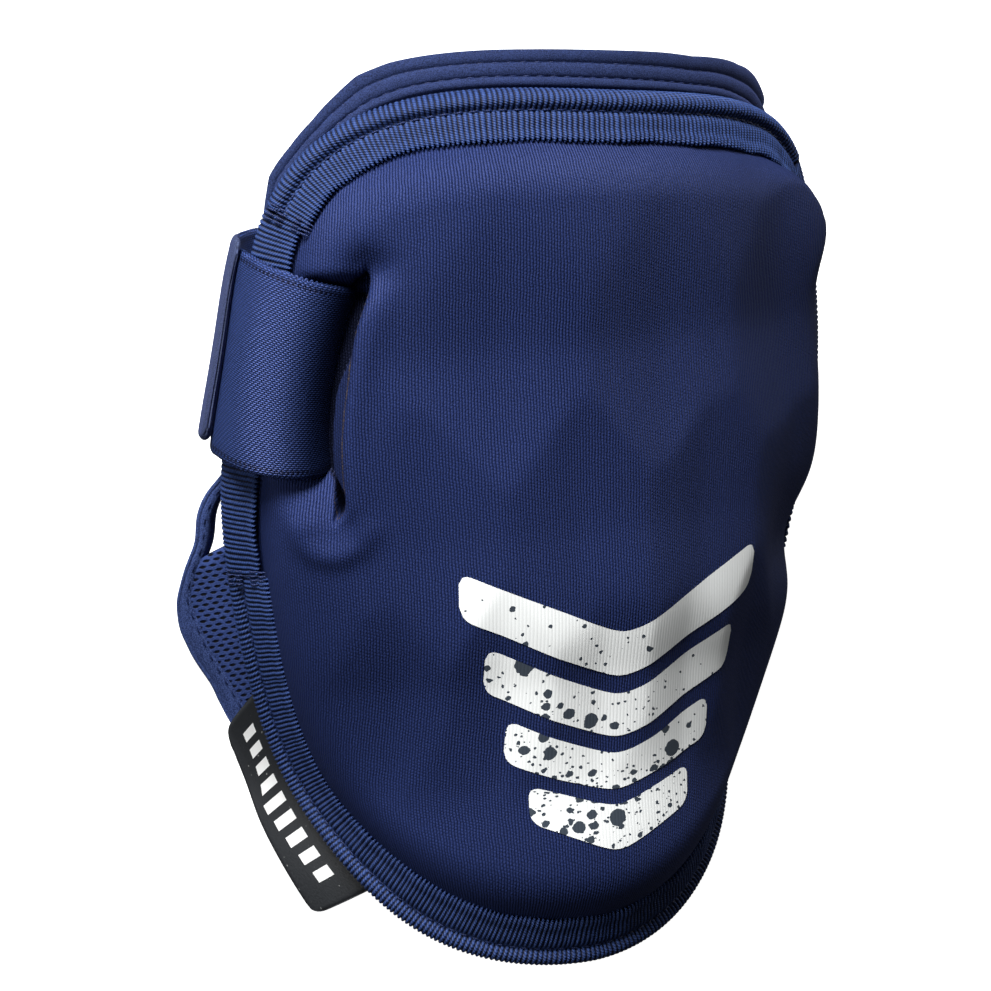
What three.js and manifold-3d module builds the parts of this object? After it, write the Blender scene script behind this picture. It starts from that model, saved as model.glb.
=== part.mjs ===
// Elbow guard: a padded front over the forearm and elbow, with a lining, bound edges and an elastic strap.
// It lies on its open back. Millimetres, +Z up, +Y towards the upper arm, +X to the right seen from the front.
import * as THREE from 'three';
import Module from 'manifold-3d';

const wasm = await Module();
wasm.setup();

// Driving dimensions: the arch's axis under the table, the shift that centres the box, the gap between pieces
const ARCH_DROP = 4.1;
const BOX_SHIFT = { x: 1.71, y: 2.24 };
const GAP = 0.3;
const RIM_STATIONS = 80;
const RIM_PLACE_COUNT = 640;
const HALVINGS = 40;

// Arch of the padded front: place along the arm, half width, crown above the arch's own axis
const ARCH = [
  { y: -104, half: 36.5, crown: 46.5 },
  { y: -80, half: 45.8, crown: 55.9 },
  { y: -55, half: 52.0, crown: 57.1 },
  { y: -20, half: 65.5, crown: 65.6 },
  { y: 20, half: 78.5, crown: 68.3 },
  { y: 60, half: 78.5, crown: 71.9 },
  { y: 92, half: 73.2, crown: 70.6 },
  { y: 100, half: 71.0, crown: 69.0 },
];

// Outline of the pad on that arch: a square-shouldered top, a tapered lower tip, sides drawn in by the strap
const RIM = { top: 84.5, middle: -6, bottom: -96.9, left: 80.5, right: 80.5 };
const RIM_FORM = { rightFlare: 0.082, topLean: 0.105, tipShift: 2 };
const RIM_POWER = { upperLeft: 2.94, upperRight: 4.5, lowerLeft: 2.17, lowerRight: 1.82 };
const DRAW_IN = { depth: 6.2, y: 36, spread: 30 };
const WAIST = { depth: 3.2, y: -12, spread: 11 };

// Pad: thin bound edge, full foam inside, rings counted inwards from the rim
const PAD = { edge: 3, full: 9, riseFrom: 10.4, riseOver: 11, backBulge: 1.7, backFrom: 12, backOver: 6 };
const PAD_EDGE_RINGS = [0, 5, 10, 12.5, 15, 18, 22];
const PAD_INNER_RINGS = [0.13, 0.26, 0.39, 0.52, 0.65, 0.78, 0.9];
const BACK_EDGE_RINGS = [0, 6, 12, 18];
const BACK_INNER_RINGS = [0.22, 0.44, 0.66, 0.85];

// Right side of the pad: a fuller shoulder, a crease at the waist
const SHOULDER = { rise: 3.2, y: 50, spread: 17 };
const CREASE = { dent: 3.8, y: -13, spread: 9 };
const RIGHT_SIDE = { from: 36, over: 22 };

// Rows of diamond hollows across the pad: place, first hollow, pitch across, how many, half sizes, depth
const HOLLOWS = [
  { y: 35, first: -21, pitch: 32, count: 3, halfWide: 19, halfTall: 26, depth: 2.6 },
  { y: -4, first: -35, pitch: 27.5, count: 4, halfWide: 16, halfTall: 28, depth: 2.6 },
  { y: -33, first: -42, pitch: 19.5, count: 5, halfWide: 12, halfTall: 22, depth: 2.0 },
];

// Slot for the strap, cut through the pad's left side: a bowed cut with its outer edge pressed down
const SLOT = { across: -48.3, y: 26.8, halfLong: 26, tilt: 8.5, bow: 3, steps: 16 };
const SLOT_PROFILE = [
  { sideways: -2.25, height: -6 },
  { sideways: 2.25, height: -6 },
  { sideways: 2.25, height: 16 },
  { sideways: -7, height: 16 },
  { sideways: -7, height: 8.8 },
  { sideways: -2.25, height: 4.4 },
];

// Binding: a folded tape, as a profile of inset from the rim and height over the pad's back
const BINDING_PROFILE = [
  { inset: 9.2, height: 4.6 },
  { inset: 5, height: 4.6 },
  { inset: 1, height: 4.6 },
  { inset: -0.9, height: 3.7 },
  { inset: -1.5, height: 1.5 },
  { inset: -0.9, height: -0.9 },
  { inset: 1, height: -1.5 },
  { inset: 10, height: -1.5 },
  { inset: 10, height: -0.45 },
  { inset: -0.3, height: -0.45 },
  { inset: -0.3, height: 3.45 },
  { inset: 5, height: 3.45 },
  { inset: 9.2, height: 3.45 },
];
const BINDING_JOINT = { upperY: 66, lowerY: -8 };

// Lining: its faces under the pad's back, and how far it flares out beyond the rim
const LINER = { face: -2, thick: 2.5, flareFrom: 2, flare: 0.6 };
const LINER_EDGE_STEP = 2;

// Edges of the lining beyond the rim: place, hem's outer edge, hem's inner edge, panel's edge
const HEM = [
  { y: -101, outer: 1.0, inner: -5.0, panel: -5.3 },
  { y: -95, outer: 1.4, inner: -4.5, panel: -4.8 },
  { y: -88, outer: 3.2, inner: -3.8, panel: -4.1 },
  { y: -66, outer: 6.0, inner: 0.0, panel: -0.3 },
  { y: -50, outer: 10.5, inner: 4.8, panel: 4.5 },
  { y: -38, outer: 13.3, inner: 8.0, panel: 7.7 },
  { y: -31.5, outer: 13.8, inner: 9.4, panel: 9.1 },
  { y: -25, outer: 16.0, inner: 11.2, panel: 10.9 },
  { y: -19, outer: 17.2, inner: 12.2, panel: 11.9 },
  { y: -14, outer: 16.5, inner: 12.9, panel: 12.6 },
  { y: -8.5, outer: 13.5, inner: 10.3, panel: 10.0 },
  { y: -6.2, outer: 12.0, inner: 8.6, panel: 8.3 },
  { y: -5.4, outer: 11.4, inner: 8.2, panel: 1.2 },
  { y: -3.5, outer: 10.3, inner: 7.4, panel: 1.2 },
  { y: 1, outer: 9.5, inner: 6.5, panel: 1.2 },
  { y: 2, outer: 9.2, inner: 6.1, panel: -12.5 },
  { y: 5.5, outer: 7.5, inner: 4.3, panel: -12.5 },
  { y: 9, outer: 4.5, inner: 1.0, panel: -12.5 },
  { y: 13, outer: 2.0, inner: -1.0, panel: -12.5 },
  { y: 62, outer: 0.0, inner: -2.0, panel: -12.5 },
  { y: 72, outer: 0.0, inner: -2.0, panel: -3.2 },
  { y: 90, outer: 0.0, inner: -2.0, panel: -3.2 },
];
const HEM_END_Y = 13;

// Collar: its reach beyond the rim by the rim's place across, and where it ends along the arm
const COLLAR_REACH = [
  { across: -69, reach: 1.5 },
  { across: -66, reach: 4.0 },
  { across: -63.7, reach: 5.8 },
  { across: -59, reach: 5.5 },
  { across: -54, reach: 6.0 },
  { across: -48, reach: 7.6 },
  { across: -43, reach: 9.2 },
  { across: -36, reach: 9.9 },
  { across: -10, reach: 9.8 },
  { across: 30, reach: 10.0 },
  { across: 47, reach: 12.2 },
  { across: 60, reach: 15.4 },
];
const COLLAR = { rightEndY: 69, leftEndY: 60, foot: -2.9 };

// Collar's three rolled tiers, as a profile of share of its reach and height under the pad's back
const COLLAR_PROFILE = [
  { share: 0, height: -2 },
  { share: 0.34, height: -2 },
  { share: 0.42, height: -2.4 },
  { share: 0.5, height: -1.9 },
  { share: 0.66, height: -2.1 },
  { share: 0.73, height: -2.8 },
  { share: 0.81, height: -2.3 },
  { share: 0.95, height: -2.6 },
  { share: 1, height: -3.6 },
  { share: 0.96, height: -5.4 },
  { share: 0.7, height: -6 },
  { share: 0, height: -6 },
];

// Strap: elastic band, out of the slot, over the left rim, along the table and up under the right rim
const STRAP = { wide: 41.6, neck: 0.077, thick: 1.6, backY: 38.5, columns: 5 };
const STRAP_WAY = { slotShift: -0.3, slotY: 30, rimY: 38.2, rimTravel: 24.5 };
const STRAP_LIP = { radius: 8.5, top: 1.9, foot: -1 };
const STRAP_LIP_TURNS = [0, 22.5, 45, 67.5, 90];
const STRAP_CREST = 10.4;
const STRAP_RIM = { inset: -1.2, height: 6.2 };
const STRAP_TURN = { floorX: 40, rimHandle: 12, inwards: 0.4, leftHandle: 16, rightHandle: 26 };
const STRAP_RIGHT = { y: 37, inset: -1.5, height: -2.8, handle: 14, endInsets: [3, 7, 11] };
const STRAP_SHARES = [0.12, 0.25, 0.4, 0.55, 0.7, 0.8, 0.9, 1];
const STRAP_TURN_STEPS = 9;

// Tab on the strap's outer face, from the left rim downwards
const TAB = { thick: 2, yShift: 1.6, turnShare: 0.42, rows: 6, columns: 5, gap: 0.35 };

// Tag sewn in under the lower left binding: its seam edge and its shorter free edge
const TAG = { inner: 2.4, outer: 13.2, thick: 1.4, over: 0.7 };
const TAG_SEAM = { top: -36, low: -79.5 };
const TAG_FREE = { top: -40.5, low: -75.5 };
const TAG_ROWS = 8;
const TAG_COLUMNS = 4;

// Colours of the cloths, rubber and tape
const NAVY = {
  pad: '#22305a',
  tape: '#2b3a6c',
  strap: '#2a3864',
  collar: '#26335c',
  hem: '#2e3c68',
  mesh: '#202c54',
};
const CHARCOAL = '#1b1c20';

const rad = THREE.MathUtils.degToRad;

function ease(t) {
  const c = THREE.MathUtils.clamp(t, 0, 1);
  return c * c * (3 - 2 * c);
}

// Value of one column of a table that is ordered by y, on a smooth curve through its rows
function smoothColumn(table, name, y) {
  const last = table.length - 1;
  let i = 0;
  while (i < last - 1 && y > table[i + 1].y) i += 1;
  const slope = (k) => {
    const low = table[Math.max(k - 1, 0)];
    const high = table[Math.min(k + 1, last)];
    return (high[name] - low[name]) / (high.y - low.y);
  };
  const step = table[i + 1].y - table[i].y;
  const s = (y - table[i].y) / step;
  const rise = table[i + 1][name] - table[i][name];
  const bend = (slope(i) * (1 - s) - slope(i + 1) * s) * step + rise * (2 * s - 1);
  return table[i][name] + rise * s + s * (1 - s) * bend;
}

// Value of one column of a table that is ordered by its key column, on straight lines between its rows
function linearColumn(table, key, name, at) {
  const last = table.length - 1;
  if (at <= table[0][key]) return table[0][name];
  if (at >= table[last][key]) return table[last][name];
  let i = 0;
  while (at > table[i + 1][key]) i += 1;
  const [low, high] = [table[i], table[i + 1]];
  return THREE.MathUtils.mapLinear(at, low[key], high[key], low[name], high[name]);
}

// Bell curve along the arm: 1 at its place, falling off with its spread
function bell(y, form) {
  return Math.exp(-(((y - form.y) / form.spread) ** 2));
}

// Point on the arch: distance across from the crown line, place along the arm
function archPoint(across, y) {
  const half = smoothColumn(ARCH, 'half', y);
  const crown = smoothColumn(ARCH, 'crown', y);
  const turn = across / Math.sqrt((half * half + crown * crown) / 2);
  return new THREE.Vector3(half * Math.sin(turn), y, crown * Math.cos(turn) - ARCH_DROP);
}

function archNormal(across, y) {
  const step = 0.5;
  const alongAcross = archPoint(across + step, y).sub(archPoint(across - step, y));
  const alongArm = archPoint(across, y + step).sub(archPoint(across, y - step));
  return alongAcross.cross(alongArm).normalize();
}

function lifted(across, y, height) {
  return archPoint(across, y).addScaledVector(archNormal(across, y), height);
}

// Outline of the pad by angle, from the crown line
function rimAt(angle) {
  const c = Math.cos(angle);
  const s = Math.sin(angle);
  const [upper, lower] = c < 0
    ? [RIM_POWER.upperLeft, RIM_POWER.lowerLeft]
    : [RIM_POWER.upperRight, RIM_POWER.lowerRight];
  const power = 2 / (s >= 0 ? upper : lower);
  const half = c < 0 ? RIM.left : RIM.right * (1 - RIM_FORM.rightFlare * Math.max(0, s));
  const reach = s >= 0 ? RIM.top - RIM.middle : RIM.middle - RIM.bottom;
  const across = Math.sign(c) * half * Math.abs(c) ** power;
  const lean = RIM_FORM.topLean * across * Math.max(0, s);
  const y = RIM.middle + Math.sign(s) * reach * Math.abs(s) ** power - lean;
  const waist = c > 0 ? WAIST.depth * bell(y, WAIST) : 0;
  const drawn = DRAW_IN.depth * bell(y, DRAW_IN) + waist;
  const share = Math.min(1, Math.abs(across) / half);
  const shift = RIM_FORM.tipShift * Math.max(0, -s) ** 3;
  return { across: across - Math.sign(c) * drawn * share - shift, y };
}

// Angles that step evenly along the outline, from the lower tip up the right side and down the left
function evenRimAngles(count) {
  const fine = 5760;
  const closer = 0.98;
  const angles = [];
  const lengths = [0];
  for (let i = 0; i <= fine; i += 1) {
    const turn = -Math.PI / 2 + (2 * Math.PI * i) / fine;
    angles.push(turn - (closer * Math.sin(4 * turn)) / 4);
    if (i === 0) continue;
    const from = rimAt(angles[i - 1]);
    const to = rimAt(angles[i]);
    lengths.push(lengths[i - 1] + Math.hypot(to.across - from.across, to.y - from.y));
  }
  const even = [];
  let k = 0;
  for (let i = 0; i < count; i += 1) {
    const target = (lengths[fine] * i) / count;
    while (lengths[k + 1] < target) k += 1;
    even.push(THREE.MathUtils.mapLinear(target, lengths[k], lengths[k + 1], angles[k], angles[k + 1]));
  }
  return even;
}

const RIM_ANGLES = evenRimAngles(RIM_STATIONS);
const RIM_PLACES = evenRimAngles(RIM_PLACE_COUNT).map(rimAt);

// Place at an inset from the rim, straight towards the pad's middle
function insetFromRim(angle, inset) {
  const rim = rimAt(angle);
  const toMiddle = { across: -rim.across, y: RIM.middle - rim.y };
  const length = Math.hypot(toMiddle.across, toMiddle.y);
  const share = inset / length;
  return { across: rim.across + toMiddle.across * share, y: rim.y + toMiddle.y * share };
}

// Place at an inset square to the rim
function squareInset(angle, inset) {
  const step = 0.004;
  const rim = rimAt(angle);
  const before = rimAt(angle - step);
  const after = rimAt(angle + step);
  const heading = new THREE.Vector2(after.across - before.across, after.y - before.y).normalize();
  return { across: rim.across - heading.y * inset, y: rim.y + heading.x * inset };
}

// Shortest distance on the sheet from a place to the rim
function rimDistance(across, y) {
  return Math.min(...RIM_PLACES.map((rim) => Math.hypot(rim.across - across, rim.y - y)));
}

// Angle of the outline whose inward line passes through a place, and the inset there
function rimThrough(across, y) {
  const direction = Math.atan2(y - RIM.middle, across);
  const widest = 1.2;
  let low = direction - widest;
  let high = direction + widest;
  const turned = (angle) => {
    const rim = rimAt(angle);
    const difference = Math.atan2(rim.y - RIM.middle, rim.across) - direction;
    return Math.atan2(Math.sin(difference), Math.cos(difference));
  };
  for (let i = 0; i < HALVINGS; i += 1) {
    const middle = (low + high) / 2;
    if (turned(middle) < 0) low = middle;
    else high = middle;
  }
  const rim = rimAt(low);
  const inset = Math.hypot(rim.across, rim.y - RIM.middle) - Math.hypot(across, y - RIM.middle);
  return { angle: low, inset };
}

// Angle of the outline on one side at a place along the arm
function rimAngleAtY(y, side) {
  const angleOf = (turn) => (side > 0 ? turn : Math.PI - turn);
  let low = -Math.PI / 2;
  let high = Math.PI / 2;
  for (let i = 0; i < HALVINGS; i += 1) {
    const middle = (low + high) / 2;
    if (rimAt(angleOf(middle)).y < y) low = middle;
    else high = middle;
  }
  return angleOf(low);
}

// Geometry from points and triangles, with its faces turned outwards
function solidGeometry(points, triangles) {
  let volume = 0;
  for (const [a, b, c] of triangles) {
    volume += points[a].dot(new THREE.Vector3().crossVectors(points[b], points[c]));
  }
  const faces = volume < 0 ? triangles.map(([a, b, c]) => [a, c, b]) : triangles;
  const geometry = new THREE.BufferGeometry();
  geometry.setFromPoints(points);
  geometry.setIndex(faces.flat());
  geometry.computeVertexNormals();
  return geometry;
}

// Solid between two domes of rings, each from its outer ring to its middle point
function domeSolid(front, back) {
  const points = [];
  const triangles = [];
  const add = (dome) => {
    const rings = dome.rings.map((ring) => ring.map((point) => points.push(point) - 1));
    return { rings, middle: points.push(dome.middle) - 1 };
  };
  const quad = (a, b, c, d) => [[a, b, c], [a, c, d]];
  const cover = (dome) => {
    const count = dome.rings[0].length;
    const faces = [];
    for (let i = 0; i < count; i += 1) {
      const j = (i + 1) % count;
      for (let r = 0; r + 1 < dome.rings.length; r += 1) {
        const outer = dome.rings[r];
        const inner = dome.rings[r + 1];
        faces.push(...quad(outer[i], outer[j], inner[j], inner[i]));
      }
      const last = dome.rings.at(-1);
      faces.push([last[i], last[j], dome.middle]);
    }
    return faces;
  };
  const frontFace = add(front);
  const backFace = add(back);
  triangles.push(...cover(frontFace), ...cover(backFace).map(([a, b, c]) => [a, c, b]));
  const count = frontFace.rings[0].length;
  for (let i = 0; i < count; i += 1) {
    const j = (i + 1) % count;
    const [low, high] = [backFace.rings[0], frontFace.rings[0]];
    triangles.push(...quad(low[i], low[j], high[j], high[i]));
  }
  return solidGeometry(points, triangles);
}

// Solid swept through closed sections that all have the profile's corners, capped at both ends
function sweptSolid(sections, profile) {
  const corners = profile.length;
  const points = sections.flat();
  const triangles = [];
  for (let s = 0; s + 1 < sections.length; s += 1) {
    for (let c = 0; c < corners; c += 1) {
      const n = (c + 1) % corners;
      const [a, b] = [s * corners + c, s * corners + n];
      triangles.push([a, b, b + corners], [a, b + corners, a + corners]);
    }
  }
  const flat = profile.map(([u, v]) => new THREE.Vector2(u, v));
  const counterClockwise = !THREE.ShapeUtils.isClockWise(flat);
  const far = (sections.length - 1) * corners;
  for (const [a, b, c] of THREE.ShapeUtils.triangulateShape(flat, [])) {
    const near = counterClockwise ? [c, b, a] : [a, b, c];
    triangles.push(near, near.map((k) => far + k).reverse());
  }
  return solidGeometry(points, triangles);
}

// Band of cloth: a grid of points on its middle surface, rows along it, thickened to both faces
function bandSolid(grid, thick) {
  const columns = grid[0].length;
  const sections = grid.map((row, r) => {
    const before = grid[Math.max(r - 1, 0)];
    const after = grid[Math.min(r + 1, grid.length - 1)];
    const faces = row.map((point, c) => {
      const along = after[c].clone().sub(before[c]);
      const wide = row[Math.min(c + 1, columns - 1)].clone().sub(row[Math.max(c - 1, 0)]);
      const normal = along.cross(wide).normalize();
      return [1, -1].map((side) => point.clone().addScaledVector(normal, (side * thick) / 2));
    });
    return [...faces.map((pair) => pair[0]), ...faces.map((pair) => pair[1]).reverse()];
  });
  const across = [...Array(columns).keys()];
  const profile = [...across.map((c) => [c, 1]), ...across.reverse().map((c) => [c, 0])];
  return sweptSolid(sections, profile);
}

function cloth(colour, roughness = 0.9) {
  return new THREE.MeshStandardMaterial({ color: colour, roughness, metalness: 0 });
}

function namedMesh(name, geometry, material) {
  const mesh = new THREE.Mesh(geometry, material);
  mesh.name = name;
  return mesh;
}

// Depth of the diamond hollows at a place on the pad
function hollowDepth(across, y) {
  let depth = 0;
  for (const row of HOLLOWS) {
    for (let i = 0; i < row.count; i += 1) {
      const sideways = Math.abs(across - row.first - i * row.pitch) / row.halfWide;
      const lengthways = Math.abs(y - row.y) / row.halfTall;
      depth = Math.max(depth, row.depth * Math.max(0, 1 - sideways - lengthways));
    }
  }
  return depth;
}

// Fuller shoulder and creased waist of the pad's right side
function rightForm(across, y) {
  const form = SHOULDER.rise * bell(y, SHOULDER) - CREASE.dent * bell(y, CREASE);
  return form * ease((across - RIGHT_SIDE.from) / RIGHT_SIDE.over);
}

function padHeight(inset, across, y) {
  const risen = THREE.MathUtils.clamp((rimDistance(across, y) - PAD.riseFrom) / PAD.riseOver, 0, 1);
  const full = 1 - (1 - risen) ** 2;
  return PAD.edge + (PAD.full - PAD.edge - hollowDepth(across, y) + rightForm(across, y)) * full;
}

function padBack(inset) {
  return -PAD.backBulge * ease((inset - PAD.backFrom) / PAD.backOver);
}

// Rings of a dome over the outline: some at set insets, the rest at shares of the way to the middle
function domeRings(edgeRings, innerRings, heightAt) {
  const lastEdge = edgeRings.at(-1);
  const place = (angle, inset) => {
    const { across, y } = insetFromRim(angle, inset);
    return lifted(across, y, heightAt(inset, across, y));
  };
  const reach = (angle) => {
    const rim = rimAt(angle);
    return Math.hypot(rim.across, rim.y - RIM.middle);
  };
  const edges = edgeRings.map((inset) => RIM_ANGLES.map((angle) => place(angle, inset)));
  const inner = innerRings.map((share) =>
    RIM_ANGLES.map((angle) => place(angle, lastEdge + (reach(angle) - lastEdge) * share)),
  );
  const middle = lifted(0, RIM.middle, heightAt(RIM.left, 0, RIM.middle));
  return { rings: [...edges, ...inner], middle };
}

// Manifold solid of a closed geometry
function manifoldOf(geometry) {
  return new wasm.Manifold(new wasm.Mesh({
    numProp: 3,
    vertProperties: new Float32Array(geometry.getAttribute('position').array),
    triVerts: new Uint32Array(geometry.getIndex().array),
  }));
}

function geometryOf(manifold) {
  const mesh = manifold.getMesh();
  const geometry = new THREE.BufferGeometry();
  geometry.setAttribute('position', new THREE.BufferAttribute(new Float32Array(mesh.vertProperties), 3));
  geometry.setIndex(new THREE.BufferAttribute(new Uint32Array(mesh.triVerts), 1));
  geometry.computeVertexNormals();
  return geometry;
}

// How far the slot's middle line bows out to the left
function slotBow(along) {
  return SLOT.bow * Math.max(0, 1 - (along / SLOT.halfLong) ** 2);
}

// Place beside the slot's middle line: along the slot and sideways from it
function slotPlace(along, sideways) {
  const tilt = rad(SLOT.tilt);
  const off = sideways - slotBow(along);
  return {
    across: SLOT.across + along * Math.sin(tilt) + off * Math.cos(tilt),
    y: SLOT.y + along * Math.cos(tilt) - off * Math.sin(tilt),
  };
}

function slotCutter() {
  const sections = [];
  for (let i = 0; i <= SLOT.steps; i += 1) {
    const share = (2 * i) / SLOT.steps - 1;
    sections.push(SLOT_PROFILE.map(({ sideways, height }) => {
      const { across, y } = slotPlace(share * SLOT.halfLong, sideways);
      return lifted(across, y, height);
    }));
  }
  return sweptSolid(sections, SLOT_PROFILE.map(({ sideways, height }) => [sideways, height]));
}

function frontPad() {
  const front = domeRings(PAD_EDGE_RINGS, PAD_INNER_RINGS, padHeight);
  const back = domeRings(BACK_EDGE_RINGS, BACK_INNER_RINGS, padBack);
  const whole = manifoldOf(domeSolid(front, back));
  const cut = whole.subtract(manifoldOf(slotCutter()));
  return namedMesh('front_pad', geometryOf(cut), cloth(NAVY.pad));
}

// Angles from one end of a stretch of the rim to the other, through the stations between them
function rimStretch(from, to) {
  const full = 2 * Math.PI;
  const clear = 0.01;
  const inside = RIM_ANGLES
    .flatMap((angle) => [angle - full, angle, angle + full])
    .filter((angle) => angle > from + clear && angle < to - clear)
    .sort((a, b) => a - b);
  return [from, ...inside, to];
}

// Station of the rim nearest to a place along the arm on one side
function stationAtY(y, side) {
  let nearest = 0;
  let least = Infinity;
  RIM_ANGLES.forEach((angle, i) => {
    const rim = rimAt(angle);
    const off = Math.sign(rim.across) === side ? Math.abs(rim.y - y) : Infinity;
    if (off < least) [nearest, least] = [i, off];
  });
  return nearest;
}

// Tape from one station of the rim to another, drawn back a little at both ends
function binding(name, from, to) {
  const sections = [];
  for (let i = from; i <= to; i += 1) {
    const angle = RIM_ANGLES[i % RIM_STATIONS];
    sections.push(BINDING_PROFILE.map(({ inset, height }) => {
      const { across, y } = squareInset(angle, inset);
      return lifted(across, y, height);
    }));
  }
  const drawBack = (end, next) => end.forEach((point, c) => {
    const away = next[c].clone().sub(point);
    point.addScaledVector(away.normalize(), GAP / 2);
  });
  drawBack(sections[0], sections[1]);
  drawBack(sections.at(-1), sections.at(-2));
  const profile = BINDING_PROFILE.map(({ inset, height }) => [inset, height]);
  return namedMesh(name, sweptSolid(sections, profile), cloth(NAVY.tape));
}

function bindings() {
  const upperRight = stationAtY(BINDING_JOINT.upperY, 1);
  const upperLeft = stationAtY(BINDING_JOINT.upperY, -1);
  const lowerRight = stationAtY(BINDING_JOINT.lowerY, 1);
  const lowerLeft = stationAtY(BINDING_JOINT.lowerY, -1);
  return [
    binding('top_binding', upperRight, upperLeft),
    binding('left_binding', upperLeft, lowerLeft),
    binding('right_binding', lowerRight, upperRight),
    binding('lower_binding', lowerLeft, lowerRight + RIM_STATIONS),
  ];
}

// Height of the lining's outer face, which flares out beyond the rim
function linerFace(beyond) {
  return LINER.face + LINER.flare * Math.max(0, beyond - LINER.flareFrom);
}

function linerPlace(angle, beyond, depth) {
  const { across, y } = insetFromRim(angle, -beyond);
  const point = lifted(across, y, linerFace(beyond) - depth);
  return point.setZ(Math.max(point.z, 0));
}

function linerPanel() {
  const lastEdge = BACK_EDGE_RINGS.at(-1);
  const faceRings = (depth) => {
    const ringAt = (beyondAt) => RIM_ANGLES.map((angle) => linerPlace(angle, beyondAt(rimAt(angle)), depth));
    const edge = (rim) => linearColumn(HEM, 'y', 'panel', rim.y);
    const bend = (rim) => Math.min(LINER.flareFrom, edge(rim) - LINER_EDGE_STEP);
    const middle = (rim) => (bend(rim) - lastEdge) / 2;
    const edges = [edge, bend, middle].map(ringAt);
    const inner = [0, ...BACK_INNER_RINGS].map((share) => ringAt((rim) => {
      const reach = Math.hypot(rim.across, rim.y - RIM.middle);
      return -THREE.MathUtils.lerp(lastEdge, reach, share);
    }));
    return { rings: [...edges, ...inner], middle: lifted(0, RIM.middle, LINER.face - depth) };
  };
  return namedMesh('liner_panel', domeSolid(faceRings(0), faceRings(LINER.thick)), cloth(NAVY.mesh));
}

function linerHem() {
  const from = rimAngleAtY(HEM_END_Y, -1);
  const to = rimAngleAtY(HEM_END_Y, 1) + 2 * Math.PI;
  const profile = [[0, 0], [0.5, 0], [1, 0], [1, LINER.thick], [0.5, LINER.thick], [0, LINER.thick]];
  const sections = rimStretch(from, to).map((angle) => {
    const { y } = rimAt(angle);
    const inner = linearColumn(HEM, 'y', 'inner', y);
    const outer = linearColumn(HEM, 'y', 'outer', y);
    return profile.map(([share, depth]) => linerPlace(angle, inner + (outer - inner) * share, depth));
  });
  return namedMesh('liner_hem', sweptSolid(sections, profile), cloth(NAVY.hem));
}

function collarBand() {
  const from = rimAngleAtY(COLLAR.rightEndY, 1);
  const to = rimAngleAtY(COLLAR.leftEndY, -1);
  const profile = COLLAR_PROFILE.map(({ share, height }) => [share * COLLAR_REACH.at(-1).reach, height]);
  const sections = rimStretch(from, to).map((angle) => {
    const reach = linearColumn(COLLAR_REACH, 'across', 'reach', rimAt(angle).across);
    return COLLAR_PROFILE.map(({ share, height }) => {
      const beyond = COLLAR.foot + (reach - COLLAR.foot) * share;
      const place = insetFromRim(angle, -beyond);
      return lifted(place.across, place.y, height);
    });
  });
  return namedMesh('collar_band', sweptSolid(sections, profile), cloth(NAVY.collar));
}

// Place on the pad at a travel outwards from the slot, and sideways from the strap's middle line
function strapPlace(sideways, travel) {
  const tilt = rad(SLOT.tilt);
  const way = STRAP_WAY;
  const rise = (way.rimY - way.slotY) / way.rimTravel;
  const slotAcross = SLOT.across + way.slotShift + (way.slotY - SLOT.y) * Math.tan(tilt);
  const left = THREE.MathUtils.clamp(1 - travel / way.rimTravel, 0, 1);
  const drawnIn = sideways * (1 - STRAP.neck * left);
  const along = drawnIn + (way.slotY - SLOT.y) / Math.cos(tilt);
  return {
    across: slotAcross - travel + drawnIn * Math.sin(tilt) - slotBow(along) * left,
    y: way.slotY + rise * travel + drawnIn * Math.cos(tilt),
  };
}

function strapPoint(sideways, travel, height) {
  const { across, y } = strapPlace(sideways, travel);
  return lifted(across, y, height);
}

// Travel at which a line along the strap reaches its turn over the rim
function travelToRim(sideways) {
  let low = 0;
  let high = 2 * STRAP_WAY.rimTravel;
  for (let i = 0; i < HALVINGS; i += 1) {
    const middle = (low + high) / 2;
    const { across, y } = strapPlace(sideways, middle);
    if (rimThrough(across, y).inset > STRAP_RIM.inset) low = middle;
    else high = middle;
  }
  return low;
}

// Point of the strap between the slot's lip and the rim, by its share of that way
function strapOverPad(sideways, share) {
  const travel = THREE.MathUtils.lerp(STRAP_LIP.radius, travelToRim(sideways), share);
  const fall = Math.cos((share * Math.PI) / 2);
  return strapPoint(sideways, travel, STRAP_RIM.height + (STRAP_CREST - STRAP_RIM.height) * fall);
}

// Turn of the strap from the left rim down to the table
function leftTurn(sideways) {
  const start = strapOverPad(sideways, 1);
  const heading = new THREE.Vector3(STRAP_TURN.inwards, 0, -1).normalize();
  const end = new THREE.Vector3(-STRAP_TURN.floorX, STRAP.backY + sideways, STRAP.thick / 2);
  const startHandle = start.clone().addScaledVector(heading, STRAP_TURN.rimHandle);
  const endHandle = end.clone().setX(end.x - STRAP_TURN.leftHandle);
  return new THREE.CubicBezierCurve3(start, startHandle, endHandle, end);
}

// Point of the strap's sewn end under the right rim
function underRightRim(sideways, inset) {
  const angle = rimAngleAtY(STRAP_RIGHT.y + sideways, 1);
  const { across, y } = insetFromRim(angle, inset);
  return lifted(across, y, STRAP_RIGHT.height);
}

// Rise of the strap from the table to the right rim
function rightTurn(sideways) {
  const start = new THREE.Vector3(STRAP_TURN.floorX, STRAP.backY + sideways, STRAP.thick / 2);
  const end = underRightRim(sideways, STRAP_RIGHT.inset);
  const heading = underRightRim(sideways, STRAP_RIGHT.inset + 1).sub(end).normalize();
  const startHandle = start.clone().setX(start.x + STRAP_TURN.rightHandle);
  const endHandle = end.clone().addScaledVector(heading, -STRAP_RIGHT.handle);
  return new THREE.CubicBezierCurve3(start, startHandle, endHandle, end);
}

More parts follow.
